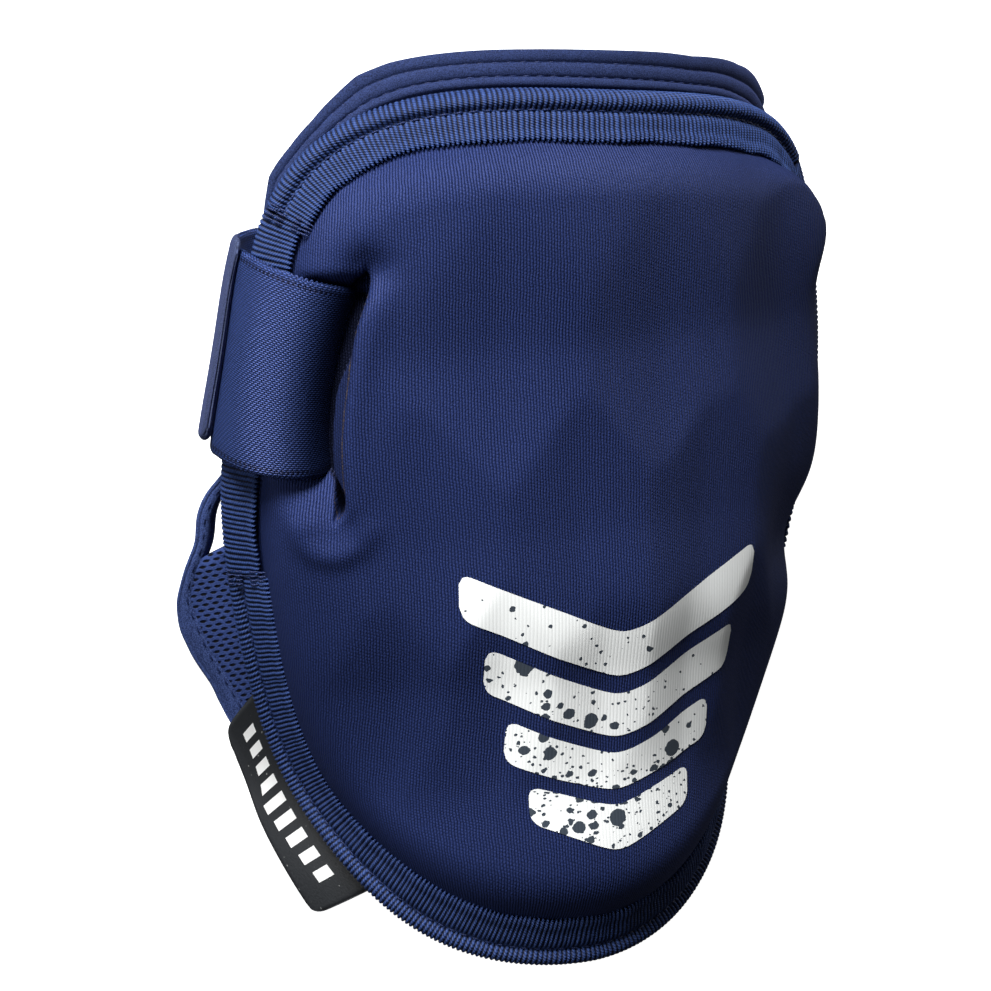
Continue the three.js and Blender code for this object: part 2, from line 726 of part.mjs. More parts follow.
// Points of one line along the whole strap
function strapLine(sideways) {
  const points = [STRAP_LIP.foot, STRAP_LIP.top / 2].map((height) => strapPoint(sideways, 0, height));
  for (const turn of STRAP_LIP_TURNS) {
    const travel = STRAP_LIP.radius * (1 - Math.cos(rad(turn)));
    points.push(strapPoint(sideways, travel, STRAP_LIP.top + STRAP_LIP.radius * Math.sin(rad(turn))));
  }
  points.push(...STRAP_SHARES.map((share) => strapOverPad(sideways, share)));
  points.push(...leftTurn(sideways).getPoints(STRAP_TURN_STEPS).slice(1));
  points.push(new THREE.Vector3(0, STRAP.backY + sideways, STRAP.thick / 2));
  points.push(...rightTurn(sideways).getPoints(STRAP_TURN_STEPS));
  points.push(...STRAP_RIGHT.endInsets.map((inset) => underRightRim(sideways, inset)));
  return points;
}

// Grid of rows along a band from its lines
function rowsOf(lines) {
  return lines[0].map((_, row) => lines.map((line) => line[row]));
}

function strap() {
  const lines = [];
  for (let c = 0; c < STRAP.columns; c += 1) {
    lines.push(strapLine((c / (STRAP.columns - 1) - 0.5) * STRAP.wide));
  }
  return namedMesh('strap', bandSolid(rowsOf(lines), STRAP.thick), cloth(NAVY.strap, 0.7));
}

function strapTab() {
  const lines = [];
  for (let c = 0; c < TAB.columns; c += 1) {
    const sideways = (c / (TAB.columns - 1) - 0.5) * STRAP.wide + TAB.yShift;
    const turn = leftTurn(sideways);
    const shares = [...Array(TAB.rows).keys()].map((row) => (row / (TAB.rows - 1)) * TAB.turnShare);
    lines.push(shares.map((share) => turn.getPoint(share)));
  }
  const grid = rowsOf(lines);
  const stand = STRAP.thick / 2 + TAB.gap + TAB.thick / 2;
  const seated = grid.map((row, r) => row.map((point, c) => {
    const along = grid[Math.min(r + 1, grid.length - 1)][c].clone().sub(grid[Math.max(r - 1, 0)][c]);
    const wide = row[row.length - 1].clone().sub(row[0]);
    return point.clone().addScaledVector(wide.cross(along).normalize(), stand);
  }));
  return namedMesh('strap_tab', bandSolid(seated, TAB.thick), cloth(NAVY.strap, 0.8));
}

function sideTag() {
  const rows = [];
  for (let r = 0; r <= TAG_ROWS; r += 1) {
    const seamY = THREE.MathUtils.lerp(TAG_SEAM.top, TAG_SEAM.low, r / TAG_ROWS);
    const freeY = THREE.MathUtils.lerp(TAG_FREE.top, TAG_FREE.low, r / TAG_ROWS);
    const row = [];
    for (let c = 0; c < TAG_COLUMNS; c += 1) {
      const share = c / (TAG_COLUMNS - 1);
      const beyond = THREE.MathUtils.lerp(TAG.inner, TAG.outer, share);
      const angle = rimAngleAtY(THREE.MathUtils.lerp(seamY, freeY, share), -1);
      const point = linerPlace(angle, beyond, -TAG.over - TAG.thick / 2);
      row.push(point.setZ(Math.max(point.z, TAG.thick / 2)));
    }
    rows.push(row);
  }
  return namedMesh('side_tag', bandSolid(rows, TAG.thick), cloth(CHARCOAL, 0.6));
}

const guard = new THREE.Group();
guard.add(frontPad(), ...bindings(), linerPanel(), linerHem(), collarBand(), strap(), strapTab(), sideTag());
guard.position.set(BOX_SHIFT.x, BOX_SHIFT.y, 0);

export default guard;
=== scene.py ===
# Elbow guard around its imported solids: knit cover, ribbed tape, elastic strap, lining, collar, tab and tag.
# Shapes are worked out in millimetres on a flat sheet, across and along the arm, and bent over the arch.
import math

import bpy
import numpy as np
from mathutils import Matrix, Vector

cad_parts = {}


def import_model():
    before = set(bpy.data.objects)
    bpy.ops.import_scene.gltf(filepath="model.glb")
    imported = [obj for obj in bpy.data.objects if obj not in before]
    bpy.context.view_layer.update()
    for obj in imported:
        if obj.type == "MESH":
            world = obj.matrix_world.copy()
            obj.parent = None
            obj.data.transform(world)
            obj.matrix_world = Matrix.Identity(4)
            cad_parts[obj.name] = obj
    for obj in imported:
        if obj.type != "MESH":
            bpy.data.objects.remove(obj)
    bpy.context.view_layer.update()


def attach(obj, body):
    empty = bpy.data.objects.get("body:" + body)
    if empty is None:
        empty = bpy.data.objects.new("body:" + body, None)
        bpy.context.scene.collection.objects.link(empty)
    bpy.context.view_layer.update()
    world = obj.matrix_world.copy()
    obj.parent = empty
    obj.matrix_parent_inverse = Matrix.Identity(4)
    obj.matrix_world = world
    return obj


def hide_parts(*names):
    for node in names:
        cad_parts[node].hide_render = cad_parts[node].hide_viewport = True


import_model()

MM = 1000.0
HALVINGS = 40
WANDER_VALUES = 1024
SHORT_STEP = 0.5

# Part's own dimensions, as in its source: arch (y, half width, crown), then the outline
# A bump is its rise, middle and spread; a ramp is its start and the way that it takes
ARCH_DROP = 4.1
BOX_SHIFT = (1.71, 2.24, 0.0)
ARCH = [
    (-104, 36.5, 46.5),
    (-80, 45.8, 55.9),
    (-55, 52.0, 57.1),
    (-20, 65.5, 65.6),
    (20, 78.5, 68.3),
    (60, 78.5, 71.9),
    (92, 73.2, 70.6),
    (100, 71.0, 69.0),
]
RIM_TOP = 84.5
RIM_MIDDLE = -6.0
RIM_BOTTOM = -96.9
RIM_HALF_WIDE = 80.5
RIM_RIGHT_FLARE = 0.082
RIM_UPPER_POWERS = (2.94, 4.5)
RIM_LOWER_POWERS = (2.17, 1.82)
RIM_LEAN = 0.105
TIP_SHIFT = 2.0
WAIST = (3.2, -12.0, 11.0)
DRAW_IN = (6.2, 36.0, 30.0)
RIM_STATIONS = 80
RIM_SAMPLES = 1500
RIM_BLOCK = 4000
RIM_SEARCH = 1.2
OUTLINE_TURNS = 3
OUTLINE_STEPS = 5760
OUTLINE_BUNCHING = 0.98

# Pad: height at the bound edge and inside, the rise between them, its right side, its back
PAD_EDGE = 3.0
PAD_FULL = 9.0
PAD_RISE_FROM = 8.8
PAD_RISE_OVER = 12.0
CORNER_STEEPER = 7.5
CORNER_ACROSS = (34.0, 16.0)
CORNER_ALONG = (38.0, 16.0)
SHOULDER = (2.7, 52.0, 19.0)
CREASE = (3.8, -13.0, 9.0)
RIGHT_SIDE = (36.0, 22.0)
PAD_BACK = 0.2
PAD_BACK_BULGE = 1.7
PAD_BACK_RAMP = (12.0, 6.0)
PAD_BACK_RINGS = (6.0, 12.0, 18.0, 30.0, 50.0)

# Rows of diamond hollows: y, first hollow, pitch across, how many, half width, half height, depth
HOLLOWS = [
    (35, -21, 32, 3, 19, 26, 2.6),
    (-4, -35, 27.5, 4, 16, 28, 2.0),
    (-33, -42, 19.5, 5, 12, 22, 2.0),
]
HOLLOW_SOFTNESS = 0.16
HOLLOW_JOIN = 4

# Slot for the strap, its facing on the right, its pressed left lip, and the cloth drawn in round it
SLOT_ACROSS = -49.2
SLOT_Y = 27.6
SLOT_HALF_LONG = 25.0
SLOT_HALF_WIDE = 3.15
SLOT_TILT = math.radians(8.5)
SLOT_BOW = 3.0
SLOT_END_POWER = 14
SLOT_FOOT_NARROW = 0.95
SLOT_FOOT_RAMP = (14.5, 4.0)
SLOT_HEAD_NARROW = 0.4
SLOT_HEAD_RAMP = (0.0, 16.0)
SLOT_DEPTH = 9.5
SLOT_LIP = 1.7
SLOT_WALL_OVER = 0.5
FACING_WIDE = 2.4
FACING_DROP = 2.6
FACING_CLOSE = 4.0
FACING_HEAD = (-10.0, 10.0)
FACING_FOOT = (-20.0, 5.0)
PRESSED_DROP = 9.0
PRESSED_REACH = 13.0
PRESSED_CLOSE = 5.0
PRESSED_FOOT = (-27.0, 13.0)
LIP = (0.7, 5.0, 2.4)
LIP_BEYOND = 4.0
LIP_FADE = 8.0
PUCKER = (0.9, 6.8, 2.5)
PUCKER_SIDE = (-0.5, 0.9)
PUCKER_NEAREST = 0.1
PUCKER_DENT = (1.2, 0.0, 3.6)
FUNNEL = (3.4, 0.0, 4.6)

# Cover's mesh: steps along the outline, finer beside the slot, then rings to the slot, over it and on
COVER_STEP = 1.25
COVER_FINE_STEP = 0.6
COVER_FINE_FROM = (-20.0, 12.0)
COVER_FINE_TO = (-70.0, 12.0)
COVER_SAMPLES = 6000
COVER_FIRST_INSET = 2.0
COVER_RINGS = (34, 40, 46)
COVER_SLOT_BAND = 5.0
COVER_SLOT_TIP = 4.0
COVER_USUAL_SHARE = 0.42
COVER_USUAL_OVER = 0.9
COVER_MIDDLE_GAP = 0.8

# Binding tape: folded outer face as (inset, height), inner face, ribs, unevenness, looped edge, joints
TAPE_FOLD = [
    (-0.5, 3.8),
    (-1.05, 2.8),
    (-1.3, 1.7),
    (-1.2, 0.4),
    (-0.8, -0.6),
    (0.2, -1.3),
    (2.0, -1.5),
    (5.0, -1.5),
    (10.0, -1.5),
]
TAPE_FACE = [
    (9.2, 4.3),
    (9.05, 4.9),
    (8.5, 5.15),
    (7.9, 5.05),
    (7.4, 4.75),
    (6.8, 4.6),
    (6.0, 4.6),
    (5.2, 4.55),
    (4.5, 4.45),
    (3.9, 4.15),
    (3.5, 3.75),
    (3.15, 3.7),
    (2.8, 4.2),
    (2.2, 4.85),
    (1.5, 5.1),
    (0.8, 4.95),
    (0.1, 4.5),
    *TAPE_FOLD,
]
TAPE_FLAT_FACE = [
    (8.0, 4.35),
    (7.8, 4.85),
    (7.3, 5.0),
    (6.7, 4.75),
    (6.1, 4.6),
    (5.0, 4.7),
    (4.0, 4.72),
    (3.0, 4.7),
    (2.0, 4.68),
    (1.1, 4.6),
    (0.3, 4.3),
    *TAPE_FOLD,
]
TAPE_LOWER_EXTRA = 1.1
TAPE_BACK = [(10.0, -0.5), (4.0, -0.5), (-0.3, -0.45), (-0.3, 3.3), (5.0, 3.4), (8.0, 3.5)]
TAPE_CORE = (5.0, 1.0)
TAPE_RIB = 1.1
TAPE_RIB_STEPS = 5
TAPE_RIB_DEPTH = 0.5
TAPE_RIB_POWER = 0.8
TAPE_RIB_WANDER = 0.16
TAPE_RIB_SPACING = 2.3
TAPE_TIER_STEP = 1.3
TAPE_WANDER = 0.28
TAPE_SLOW_SPACING = 9.0
TAPE_QUICK_SPACING = 3.7
TAPE_QUICK_SHARE = 0.6
TAPE_EDGE_WANDER = 0.35
TAPE_EDGE_SPACING = 6.0
TAPE_INSIDE = (1.0, 8.0)
TAPE_FRONT = (1.0, 3.0)
TAPE_LOOP = 0.6
TAPE_LOOP_BRIGHT = 0.6
TAPE_LOOP_WIDE = 1.6
TAPE_LOOP_CUT = 0.5
TAPE_GAP = 0.15
TAPE_JOINT_Y = (-8.0, 66.0)
TAPE_SEEDS = (11, 21, 31, 41)

# Stitches: the seams' depth, single stitches, bars over the tape's joints as (inset, height), threads
SEAM_INSET = 3.3
SEAM_HEIGHT = 3.75
STITCH_LONG = 2.0
STITCH_PITCH = 2.9
STITCH_RADIUS = 0.24
FINE_STITCH_RADIUS = 0.192
STITCH_SHARES = np.linspace(0, 1, 5)
TAPE_STITCH_DIP = np.array([-0.35, 0.0, 0.06, 0.0, -0.35])
SOFT_STITCH_DIP = np.array([-0.4, 0.0, 0.05, 0.0, -0.4])
BAR_PLACES = (-1.5, -0.5, 0.5, 1.5)
BARS = [(1.2, 5.05), (3.4, 5.05), (7.0, 4.85), (9.0, 4.85)]
BAR_LONG = 1.9
THREAD_SIDES = 6
THREAD_ASIDE = (0.3, 0.2, 1.0)
THREAD_TIP = 0.12
THREAD_TAPER = 0.4
THREAD_STEP = 0.4

# Lining under the pad and beyond it: faces, flare, edges as (y, hem outer, hem inner, panel)
LINER_FACE = -2.0
LINER_THICK = 2.5
LINER_FLARE_FROM = 2.0
LINER_FLARE = 0.6
HEM = [
    (-101, 1.0, -5.0, -5.3),
    (-95, 1.4, -4.5, -4.8),
    (-88, 3.2, -3.8, -4.1),
    (-66, 6.0, 0.0, -0.3),
    (-50, 10.5, 4.8, 4.5),
    (-38, 13.3, 8.0, 7.7),
    (-31.5, 13.8, 9.4, 9.1),
    (-25, 16.0, 11.2, 10.9),
    (-19, 17.2, 12.2, 11.9),
    (-14, 16.5, 12.9, 12.6),
    (-8.5, 13.5, 10.3, 10.0),
    (-6.2, 12.0, 8.6, 8.3),
    (-5.4, 11.4, 8.2, 1.2),
    (-3.5, 10.3, 7.4, 1.2),
    (1, 9.5, 6.5, 1.2),
    (2, 9.2, 6.1, -12.5),
    (5.5, 7.5, 4.3, -12.5),
    (9, 4.5, 1.0, -12.5),
    (13, 2.0, -1.0, -12.5),
    (62, 0.0, -2.0, -12.5),
    (72, 0.0, -2.0, -3.2),
    (90, 0.0, -2.0, -3.2),
]
HEM_OUTER = 1
HEM_INNER = 2
HEM_PANEL = 3
HEM_END_Y = 13.0
HEM_EVENING = 1.5
HEM_EVENING_STEPS = 9
HEM_KEEP_OVER = 4.0
HEM_STEP = 0.7
HEM_SECTION = 18
HEM_ROUND = 9
HEM_TOP = 0.25
HEM_PUFF = 0.35
HEM_PUFF_POWER = 0.7
HEM_UNDER = 2.45
HEM_STITCH_IN = 0.7
HEM_STITCH_LIFT = 0.05
PANEL_STEP = 2.2
PANEL_RINGS = 30
PANEL_TUCK = 1.3
PANEL_LAST_SHARE = 0.985
PANEL_BUNCHING = 1.3
PANEL_DEPTH = 0.15

# Collar: reach beyond the rim by place across, foot under the binding, rolls as (from, to, rise, base),
# underside as (share, height), seams between the rolls as (share, height)
COLLAR_REACH = [
    (-69, 1.5),
    (-66, 4.0),
    (-63.7, 5.8),
    (-59, 5.5),
    (-54, 6.0),
    (-48, 7.6),
    (-43, 9.2),
    (-36, 9.9),
    (-10, 9.8),
    (30, 10.0),
    (47, 12.2),
    (60, 15.4),
]
COLLAR_END_Y = (69.0, 60.0)
COLLAR_FOOT = -2.9
COLLAR_FOOT_SHARES = (0.0, 0.3)
COLLAR_ROLLS = [(0.36, 0.53, 1.1, -2.9), (0.53, 0.76, 0.8, -2.9), (0.76, 1.04, 1.0, -3.2)]
COLLAR_UNDER = [
    (1.012, -3.2),
    (1.015, -3.9),
    (1.0, -4.8),
    (0.96, -5.5),
    (0.85, -5.9),
    (0.6, -6.0),
    (0.3, -6.0),
    (0.0, -6.0),
]
COLLAR_SEAMS = [(0.53, -2.7), (0.76, -2.95)]
COLLAR_SEAM_END = 4.0
COLLAR_STEP = 0.8
COLLAR_COLUMNS = 46
COLLAR_WANDER = 0.22
COLLAR_SPACING = 11.0
COLLAR_SEED = 51
COLLAR_LOOSE = (0.3, 0.3)

# Strap: elastic band from the slot over the left rim, along the table and up under the right rim
# Its rows: in the slot, round the lip, over the pad, down the left, on the table, up the right, at the rim
STRAP_WIDE = 41.6
STRAP_THICK = 1.6
STRAP_NECK = 0.077
STRAP_SLOT_SHIFT = -1.9
STRAP_SLOT_Y = 30.0
STRAP_RIM_Y = 38.2
STRAP_RIM_TRAVEL = 24.5
STRAP_BACK_Y = 38.5
STRAP_LIP_RADIUS = 11.5
STRAP_LIP_TOP = -1.1
STRAP_LIP_FOOT = -1.5
STRAP_CREST = 10.4
STRAP_RIM_INSET = -0.8
STRAP_RIM_HEIGHT = 6.0
STRAP_FLOOR_X = 40.0
STRAP_RIM_HANDLE = 12.0
STRAP_INWARDS = 0.25
STRAP_LEFT_HANDLE = 16.0
STRAP_RIGHT_FLOOR_HANDLE = 26.0
STRAP_RIGHT_Y = 37.0
STRAP_RIGHT_INSET = -1.5
STRAP_RIGHT_HEIGHT = -2.8
STRAP_RIGHT_HANDLE = 14.0
STRAP_RIGHT_END = 11.0
STRAP_ROWS = (20, 14, 60, 90, 40, 90, 16)
STRAP_STEP = 0.35
STRAP_SOFTENING = 7
STRAP_INNER_COLUMNS = 18
STRAP_EDGE = 1.0
STRAP_EDGE_SHARES = np.array([0.5, 0.85, 1.0])
STRAP_EDGE_MOST = 0.98
PICOT_PITCH = 1.0
PICOT_DEPTH = 0.6
PICOT_LEVEL = 0.6

# Tab on the strap's outer face: thickness at its two sides, place, length, lean, corners, rounding
TAB_THICK = (2.2, 1.5)
TAB_SHIFT = 2.4
TAB_LONG = 15.0
TAB_LEAN = 0.25
TAB_BEND = 2.0
TAB_GAP = 0.25
TAB_CORNER = 3.0
TAB_ROUND = 1.2
TAB_ROUND_MOST = 0.97
TAB_ROWS = 70
TAB_COLUMNS = 60
TAB_STEP = 0.5

# Tag under the lower left binding, with plain bars on it: place of the first, step, width of the first, step
TAG_SEAM = (-36.0, -79.5)
TAG_FREE = (-40.5, -75.5)
TAG_TALL = TAG_FREE[0] - TAG_FREE[1]
TAG_INNER = 2.4
TAG_REACH = 10.8
TAG_THICK = 1.4
TAG_OVER = 0.7
TAG_LIFT = 2.4
TAG_ROWS = 120
TAG_COLUMNS = 34
TAG_CORNER = 2.2
TAG_ROUND = 0.7
TAG_ROUND_MOST = 0.96
TAG_BARS = 9
TAG_BAR_PLACE = (0.14, 0.09)
TAG_BAR_WIDE = (0.6, -0.04)
TAG_BAR_LONG = 1.7
TAG_BAR_FROM = 0.3
TAG_BAR_OVER = 0.12
TAG_BAR_GRID = (8, 14)

# Print on the pad: a stack of chevrons, each as (place down the stack, half width), with round ends
PRINT_TOP = (1.0, -29.0)
PRINT_TURN = math.radians(-1)
PRINT_CHEVRONS = [(0.0, 32.0), (13.0, 27.0), (26.0, 22.0), (39.0, 17.0)]
PRINT_STROKE = 9.2
PRINT_SLOPE = 0.5
PRINT_APEX = 3.0
PRINT_CORNER = 2.4
PRINT_OVER = 0.16
PRINT_STATIONS = 90
PRINT_COLUMNS = 15

# Camera: target on the part, turn, lift and roll, distance, half width of the view at that distance
CAMERA_TARGET = (1.71, -0.02, 14.58)
CAMERA_SIDE = math.radians(26.274)
CAMERA_LIFT = math.radians(7.227)
CAMERA_ROLL = math.radians(3.615)
CAMERA_DISTANCE = 1000.0
CAMERA_HALF_VIEW = 107.03
CAMERA_NEAREST = 0.01

# Lights: place in metres, width and height of the panel, power
LIGHTS = {
    "key_panel": ((-0.54, 1.05, 0.68), (0.65, 0.45), 42.0),
    "left_panel": ((-1.15, 0.1, 0.5), (0.5, 0.5), 4.0),
    "right_panel": ((1.25, 0.3, 0.15), (0.5, 0.5), 3.0),
}
WORLD_LIGHT = 0.04
FLOOR_GLOW = 0.97
FLOOR_HALF = 3.0
FLOOR_DROP = 0.0002
FLOOR_CORNERS = [(-1, -1), (1, -1), (1, 1), (-1, 1)]
WHITE = (1, 1, 1, 1)

# Colours of cloth, thread, rubber, print and floor
KNIT_RIDGE = "#202d5a"
KNIT_GROOVE = "#050a1a"
# Painted shade: black for the deep inside of the slot
SLOT_SHADE_BLACK = "#020308"
LINING_EDGE = "#4a3f2c"
TAPE_RIDGE = "#324a84"
TAPE_GROOVE = "#080e24"
STRAP_RIDGE = "#364b86"
STRAP_GROOVE = "#040716"
JERSEY_LIGHT = "#4a5e98"
JERSEY_DARK = "#152048"
COLLAR_LIGHT = "#2b3964"
COLLAR_DARK = "#09112c"
TAB_LIGHT = "#465070"
TAB_DARK = "#10152a"
MESH_LIGHT = "#4a62a8"
MESH_HOLE = "#04060f"
THREAD_BLUE = "#1a2d62"
RUBBER_DARK = "#191b1e"
RUBBER_LIGHT = "#2a2d31"
PRINT_WHITE = "#f1f4f4"
PRINT_SLATE = "#3b434d"
MARK_WHITE = "#eef0ee"
FLOOR_PALE = "#f2f2f2"
SHEEN_BLUE = "#6c7ac6"
GLOSS_BLUE = "#a2b0ff"

# Materials: a finish is roughness, sheen and gloss; a noise is scale and detail; a line is factor and base;
# a range is from, to and what these become; pitches and reliefs are in millimetres
SHEEN_ROUGHNESS = 0.45
MIX_INPUTS = (0, 6, 7)
MIX_RESULT = 2
KNIT_FINISH = (0.6, 0.02, 0.55)
KNIT_DRIFT_SCALE = 0.35
KNIT_DRIFT = 0.5
KNIT_WALE = 0.56
KNIT_STAGGER = 0.23
KNIT_STITCH = 0.7
KNIT_STITCH_LINE = (0.3, 0.7)
KNIT_GRAIN = (2.6, 3.0)
KNIT_POWER = 0.7
KNIT_SPECKLE = (2.6, -0.3)
KNIT_CLOUD_SCALE = 0.03
KNIT_CLOUD = (0.25, 0.75, 0.92, 1.1)
KNIT_FUZZ = 0.5
KNIT_RELIEF = 0.16
FACING_SHADE = (1.0, 1.5, 0.0, 0.45)
CUT_EDGE_FROM = (1.4, 1.55)
CUT_EDGE_TO = (1.95, 2.15, 1.0, 0.0)
CUT_EDGE_GRAIN = (0.4, 0.6, 0.2, 0.9)
# Depth in the slot past which painted black shade covers the knit
SLOT_SHADE_FROM = (4.2, 4.4)
TAPE_FINISH = (0.6, 0.06, 0.3)
TAPE_TWIST = 0.35
TAPE_TWIST_PITCH = 0.52
TAPE_GRAIN = (1.7, 3.0)
TAPE_THREAD = (0.6, 0.4)
TAPE_RIB_RANGE = (0.3, 0.97)
TAPE_SPECKLE = (1.6, 0.2)
TAPE_FUZZ = 0.5
TAPE_RELIEF = 0.12
STRAP_FINISH = (0.45, 0.03, 0.8)
STRAP_ROW = 0.44
STRAP_STAGGER = 0.37
STRAP_FLOAT = 0.9
STRAP_FLOAT_POWER = 0.8
STRAP_GRAIN = (1.4, 3.0)
STRAP_SPECKLE = (1.4, 0.3)
# Painted shade on the strap: its colour and gloss fall towards the slot, by length along it
STRAP_SLOT_SHADE = (6.0, 16.0, 0.2, 1.0)
STRAP_SLOT_SHADE_GLOSS = (6.0, 16.0, 0.2, 0.8)
STRAP_RELIEF = 0.2
PICOT_ROW_FROM = (18.6, 19.0)
PICOT_ROW_TO = (19.5, 19.9, 1.0, 0.0)
PICOT_HOLE = (0.4, 0.8)
JERSEY_ROUGHNESS = 0.85
JERSEY_GLOSS = 0.2
JERSEY_FINE = (4.2, 4.0)
JERSEY_RANGE = (0.34, 0.66, 0.0, 0.85)
JERSEY_CLOUD = 0.5
JERSEY_CLOUD_SHARE = 0.3
MESH_FINISH = (0.85, 0.1, 0.2)
MESH_ROW = 1.2
MESH_COLUMN = 2.0
MESH_ROWS_BELOW = 400.0
MESH_EDGE = (0.2, 0.42)
MESH_FINE = (2.4, 4.0)
MESH_FUZZ = 0.3
MESH_RELIEF = 0.35
THREAD_FINISH = (0.5, 0.05, 0.4)
THREAD_TWIST = 0.1
THREAD_PITCH = 0.35
THREAD_RELIEF = 0.06
RUBBER_FINISH = (0.5, 0.0, 0.45)
RUBBER_FINE = (3.0, 3.0)
RUBBER_SPECKS = (1.3, 1.0)
RUBBER_SPECK = (0.72, 0.8, 0.0, 0.3)
RUBBER_ROUGHNESS = (0.2, 0.8, 0.42, 0.62)
RUBBER_RELIEF = 0.05
MARK_FINISH = (0.55, 0.0, 0.4)
MARK_GRAIN = 2.0
MARK_RELIEF = 0.03
PRINT_FINISH = (0.5, 0.0, 0.35)
PRINT_WARP_SCALE = 0.9
PRINT_WARP = (0.9, 0.9, 0.0)
PRINT_LOW = (-0.018, -0.52)
PRINT_LEFT = -0.008
PRINT_GRAIN = 1.5
PRINT_RIB = 0.68
PRINT_RELIEF = 0.03
FLOOR_FINISH = (0.8, 0.0, 0.2)
FLOOR_GRAIN = 40.0

# Blots on the print: cell, smallest and largest radius, line of their share of the cells
PRINT_BLOTS = [
    (4.6, 0.12, 0.5, (0.9, 0.0)),
    (2.3, 0.1, 0.45, (1.0, 0.1)),
    (1.05, 0.1, 0.4, (1.0, 0.16)),
]


def ease(t):
    c = np.clip(t, 0.0, 1.0)
    return c * c * (3 - 2 * c)


def ramp(value, start, over):
    return ease((value - start) / over)


def swell(place, bump):
    rise, middle, width = bump
    return rise * np.exp(-(((place - middle) / width) ** 2))


def wander(place, spacing, seed):
    """Smooth seeded unevenness between -1 and 1 along a line."""
    values = np.random.default_rng(seed).uniform(-1, 1, WANDER_VALUES)
    at = np.asarray(place, float) / spacing
    low = np.floor(at).astype(int)
    share = ease(at - low)
    return values[low % WANDER_VALUES] * (1 - share) + values[(low + 1) % WANDER_VALUES] * share


def rounded_corner(radius, distance):
    """How far an edge is drawn in at a distance from the end of its round corner."""
    near = np.clip(radius - distance, 0, radius)
    return radius - np.sqrt(radius ** 2 - near ** 2)


def halved(low, high, before):
    """Place where a test turns false, by halving."""
    for _ in range(HALVINGS):
        middle = (low + high) / 2
        passed = before(middle)
        low = np.where(passed, middle, low)
        high = np.where(passed, high, middle)
    return low


def stacked(*parts):
    return np.stack(np.broadcast_arrays(*parts), axis=-1)


def unit(vectors):
    return vectors / np.linalg.norm(vectors, axis=-1, keepdims=True)


def smooth_column(table, column, y):
    """One column of a table that is ordered by its first column, on a smooth curve through its rows."""
    rows = np.asarray(table, float)
    places = rows[:, 0]
    values = rows[:, column]
    last = len(rows) - 1
    index = np.arange(last + 1)
    low = np.maximum(index - 1, 0)
    high = np.minimum(index + 1, last)
    slope = (values[high] - values[low]) / (places[high] - places[low])
    i = np.clip(np.searchsorted(places, y, side="left") - 1, 0, last - 1)
    step = places[i + 1] - places[i]
    s = (y - places[i]) / step
    rise = values[i + 1] - values[i]
    bend = (slope[i] * (1 - s) - slope[i + 1] * s) * step + rise * (2 * s - 1)
    return values[i] + rise * s + s * (1 - s) * bend


def linear_column(table, column, y):
    rows = np.asarray(table, float)
    return np.interp(y, rows[:, 0], rows[:, column])


def arch_point(across, y):
    half = smooth_column(ARCH, 1, y)
    crown = smooth_column(ARCH, 2, y)
    turn = across / np.sqrt((half * half + crown * crown) / 2)
    return np.stack([half * np.sin(turn), y, crown * np.cos(turn) - ARCH_DROP], axis=-1)


def arch_normal(across, y):
    along_across = arch_point(across + SHORT_STEP, y) - arch_point(across - SHORT_STEP, y)
    along_arm = arch_point(across, y + SHORT_STEP) - arch_point(across, y - SHORT_STEP)
    return unit(np.cross(along_across, along_arm))


def lifted(across, y, height):
    """Points at a height over the arch."""
    across, y, height = np.broadcast_arrays(np.asarray(across, float), y, height)
    return arch_point(across, y) + arch_normal(across, y) * height[..., None]


def rim_at(angle):
    """Outline of the pad on the sheet."""
    c = np.cos(angle)
    s = np.sin(angle)
    upper = np.where(c < 0, *RIM_UPPER_POWERS)
    lower = np.where(c < 0, *RIM_LOWER_POWERS)
    power = 2 / np.where(s >= 0, upper, lower)
    half = RIM_HALF_WIDE * (1 - RIM_RIGHT_FLARE * np.maximum(0, s) * (c >= 0))
    reach = np.where(s >= 0, RIM_TOP - RIM_MIDDLE, RIM_MIDDLE - RIM_BOTTOM)
    across = np.sign(c) * half * np.abs(c) ** power
    lean = RIM_LEAN * across * np.maximum(0, s)
    y = RIM_MIDDLE + np.sign(s) * reach * np.abs(s) ** power - lean
    shift = TIP_SHIFT * np.maximum(0, -s) ** 3
    drawn = swell(y, DRAW_IN) + swell(y, WAIST) * (c > 0)
    share = np.minimum(1, np.abs(across) / half)
    return across - np.sign(c) * drawn * share - shift, y


def outline_table():
    """Angles of the outline over three turns, and the length along it up to each, from the lower tip."""
    even = np.linspace(-2.5 * math.pi, 3.5 * math.pi, OUTLINE_TURNS * OUTLINE_STEPS + 1)
    angles = even - OUTLINE_BUNCHING * np.sin(4 * even) / 4
    across, y = rim_at(angles)
    lengths = np.concatenate([[0], np.cumsum(np.hypot(np.diff(across), np.diff(y)))])
    whole = lengths[-1] / OUTLINE_TURNS
    return angles, lengths - whole, whole


OUTLINE_ANGLES, OUTLINE_LENGTHS, OUTLINE_WHOLE = outline_table()


def angle_at_length(length):
    return np.interp(length, OUTLINE_LENGTHS, OUTLINE_ANGLES)


def length_at_y(y, side):
    return np.interp(rim_angle_at_y(y, side), OUTLINE_ANGLES, OUTLINE_LENGTHS)


def rim_angle_at_y(y, side):
    """Angle of the outline on one side at a place along the arm."""
    quarter = np.full(np.shape(y), math.pi / 2)

    def on_side(angle):
        return angle if side > 0 else math.pi - angle

    return on_side(halved(-quarter, quarter, lambda angle: rim_at(on_side(angle))[1] < y))


def inset_from_rim(angle, inset):
    """Place at an inset from the rim, straight towards the pad's middle."""
    across, y = rim_at(angle)
    share = inset / np.hypot(across, y - RIM_MIDDLE)
    return across * (1 - share), y + (RIM_MIDDLE - y) * share


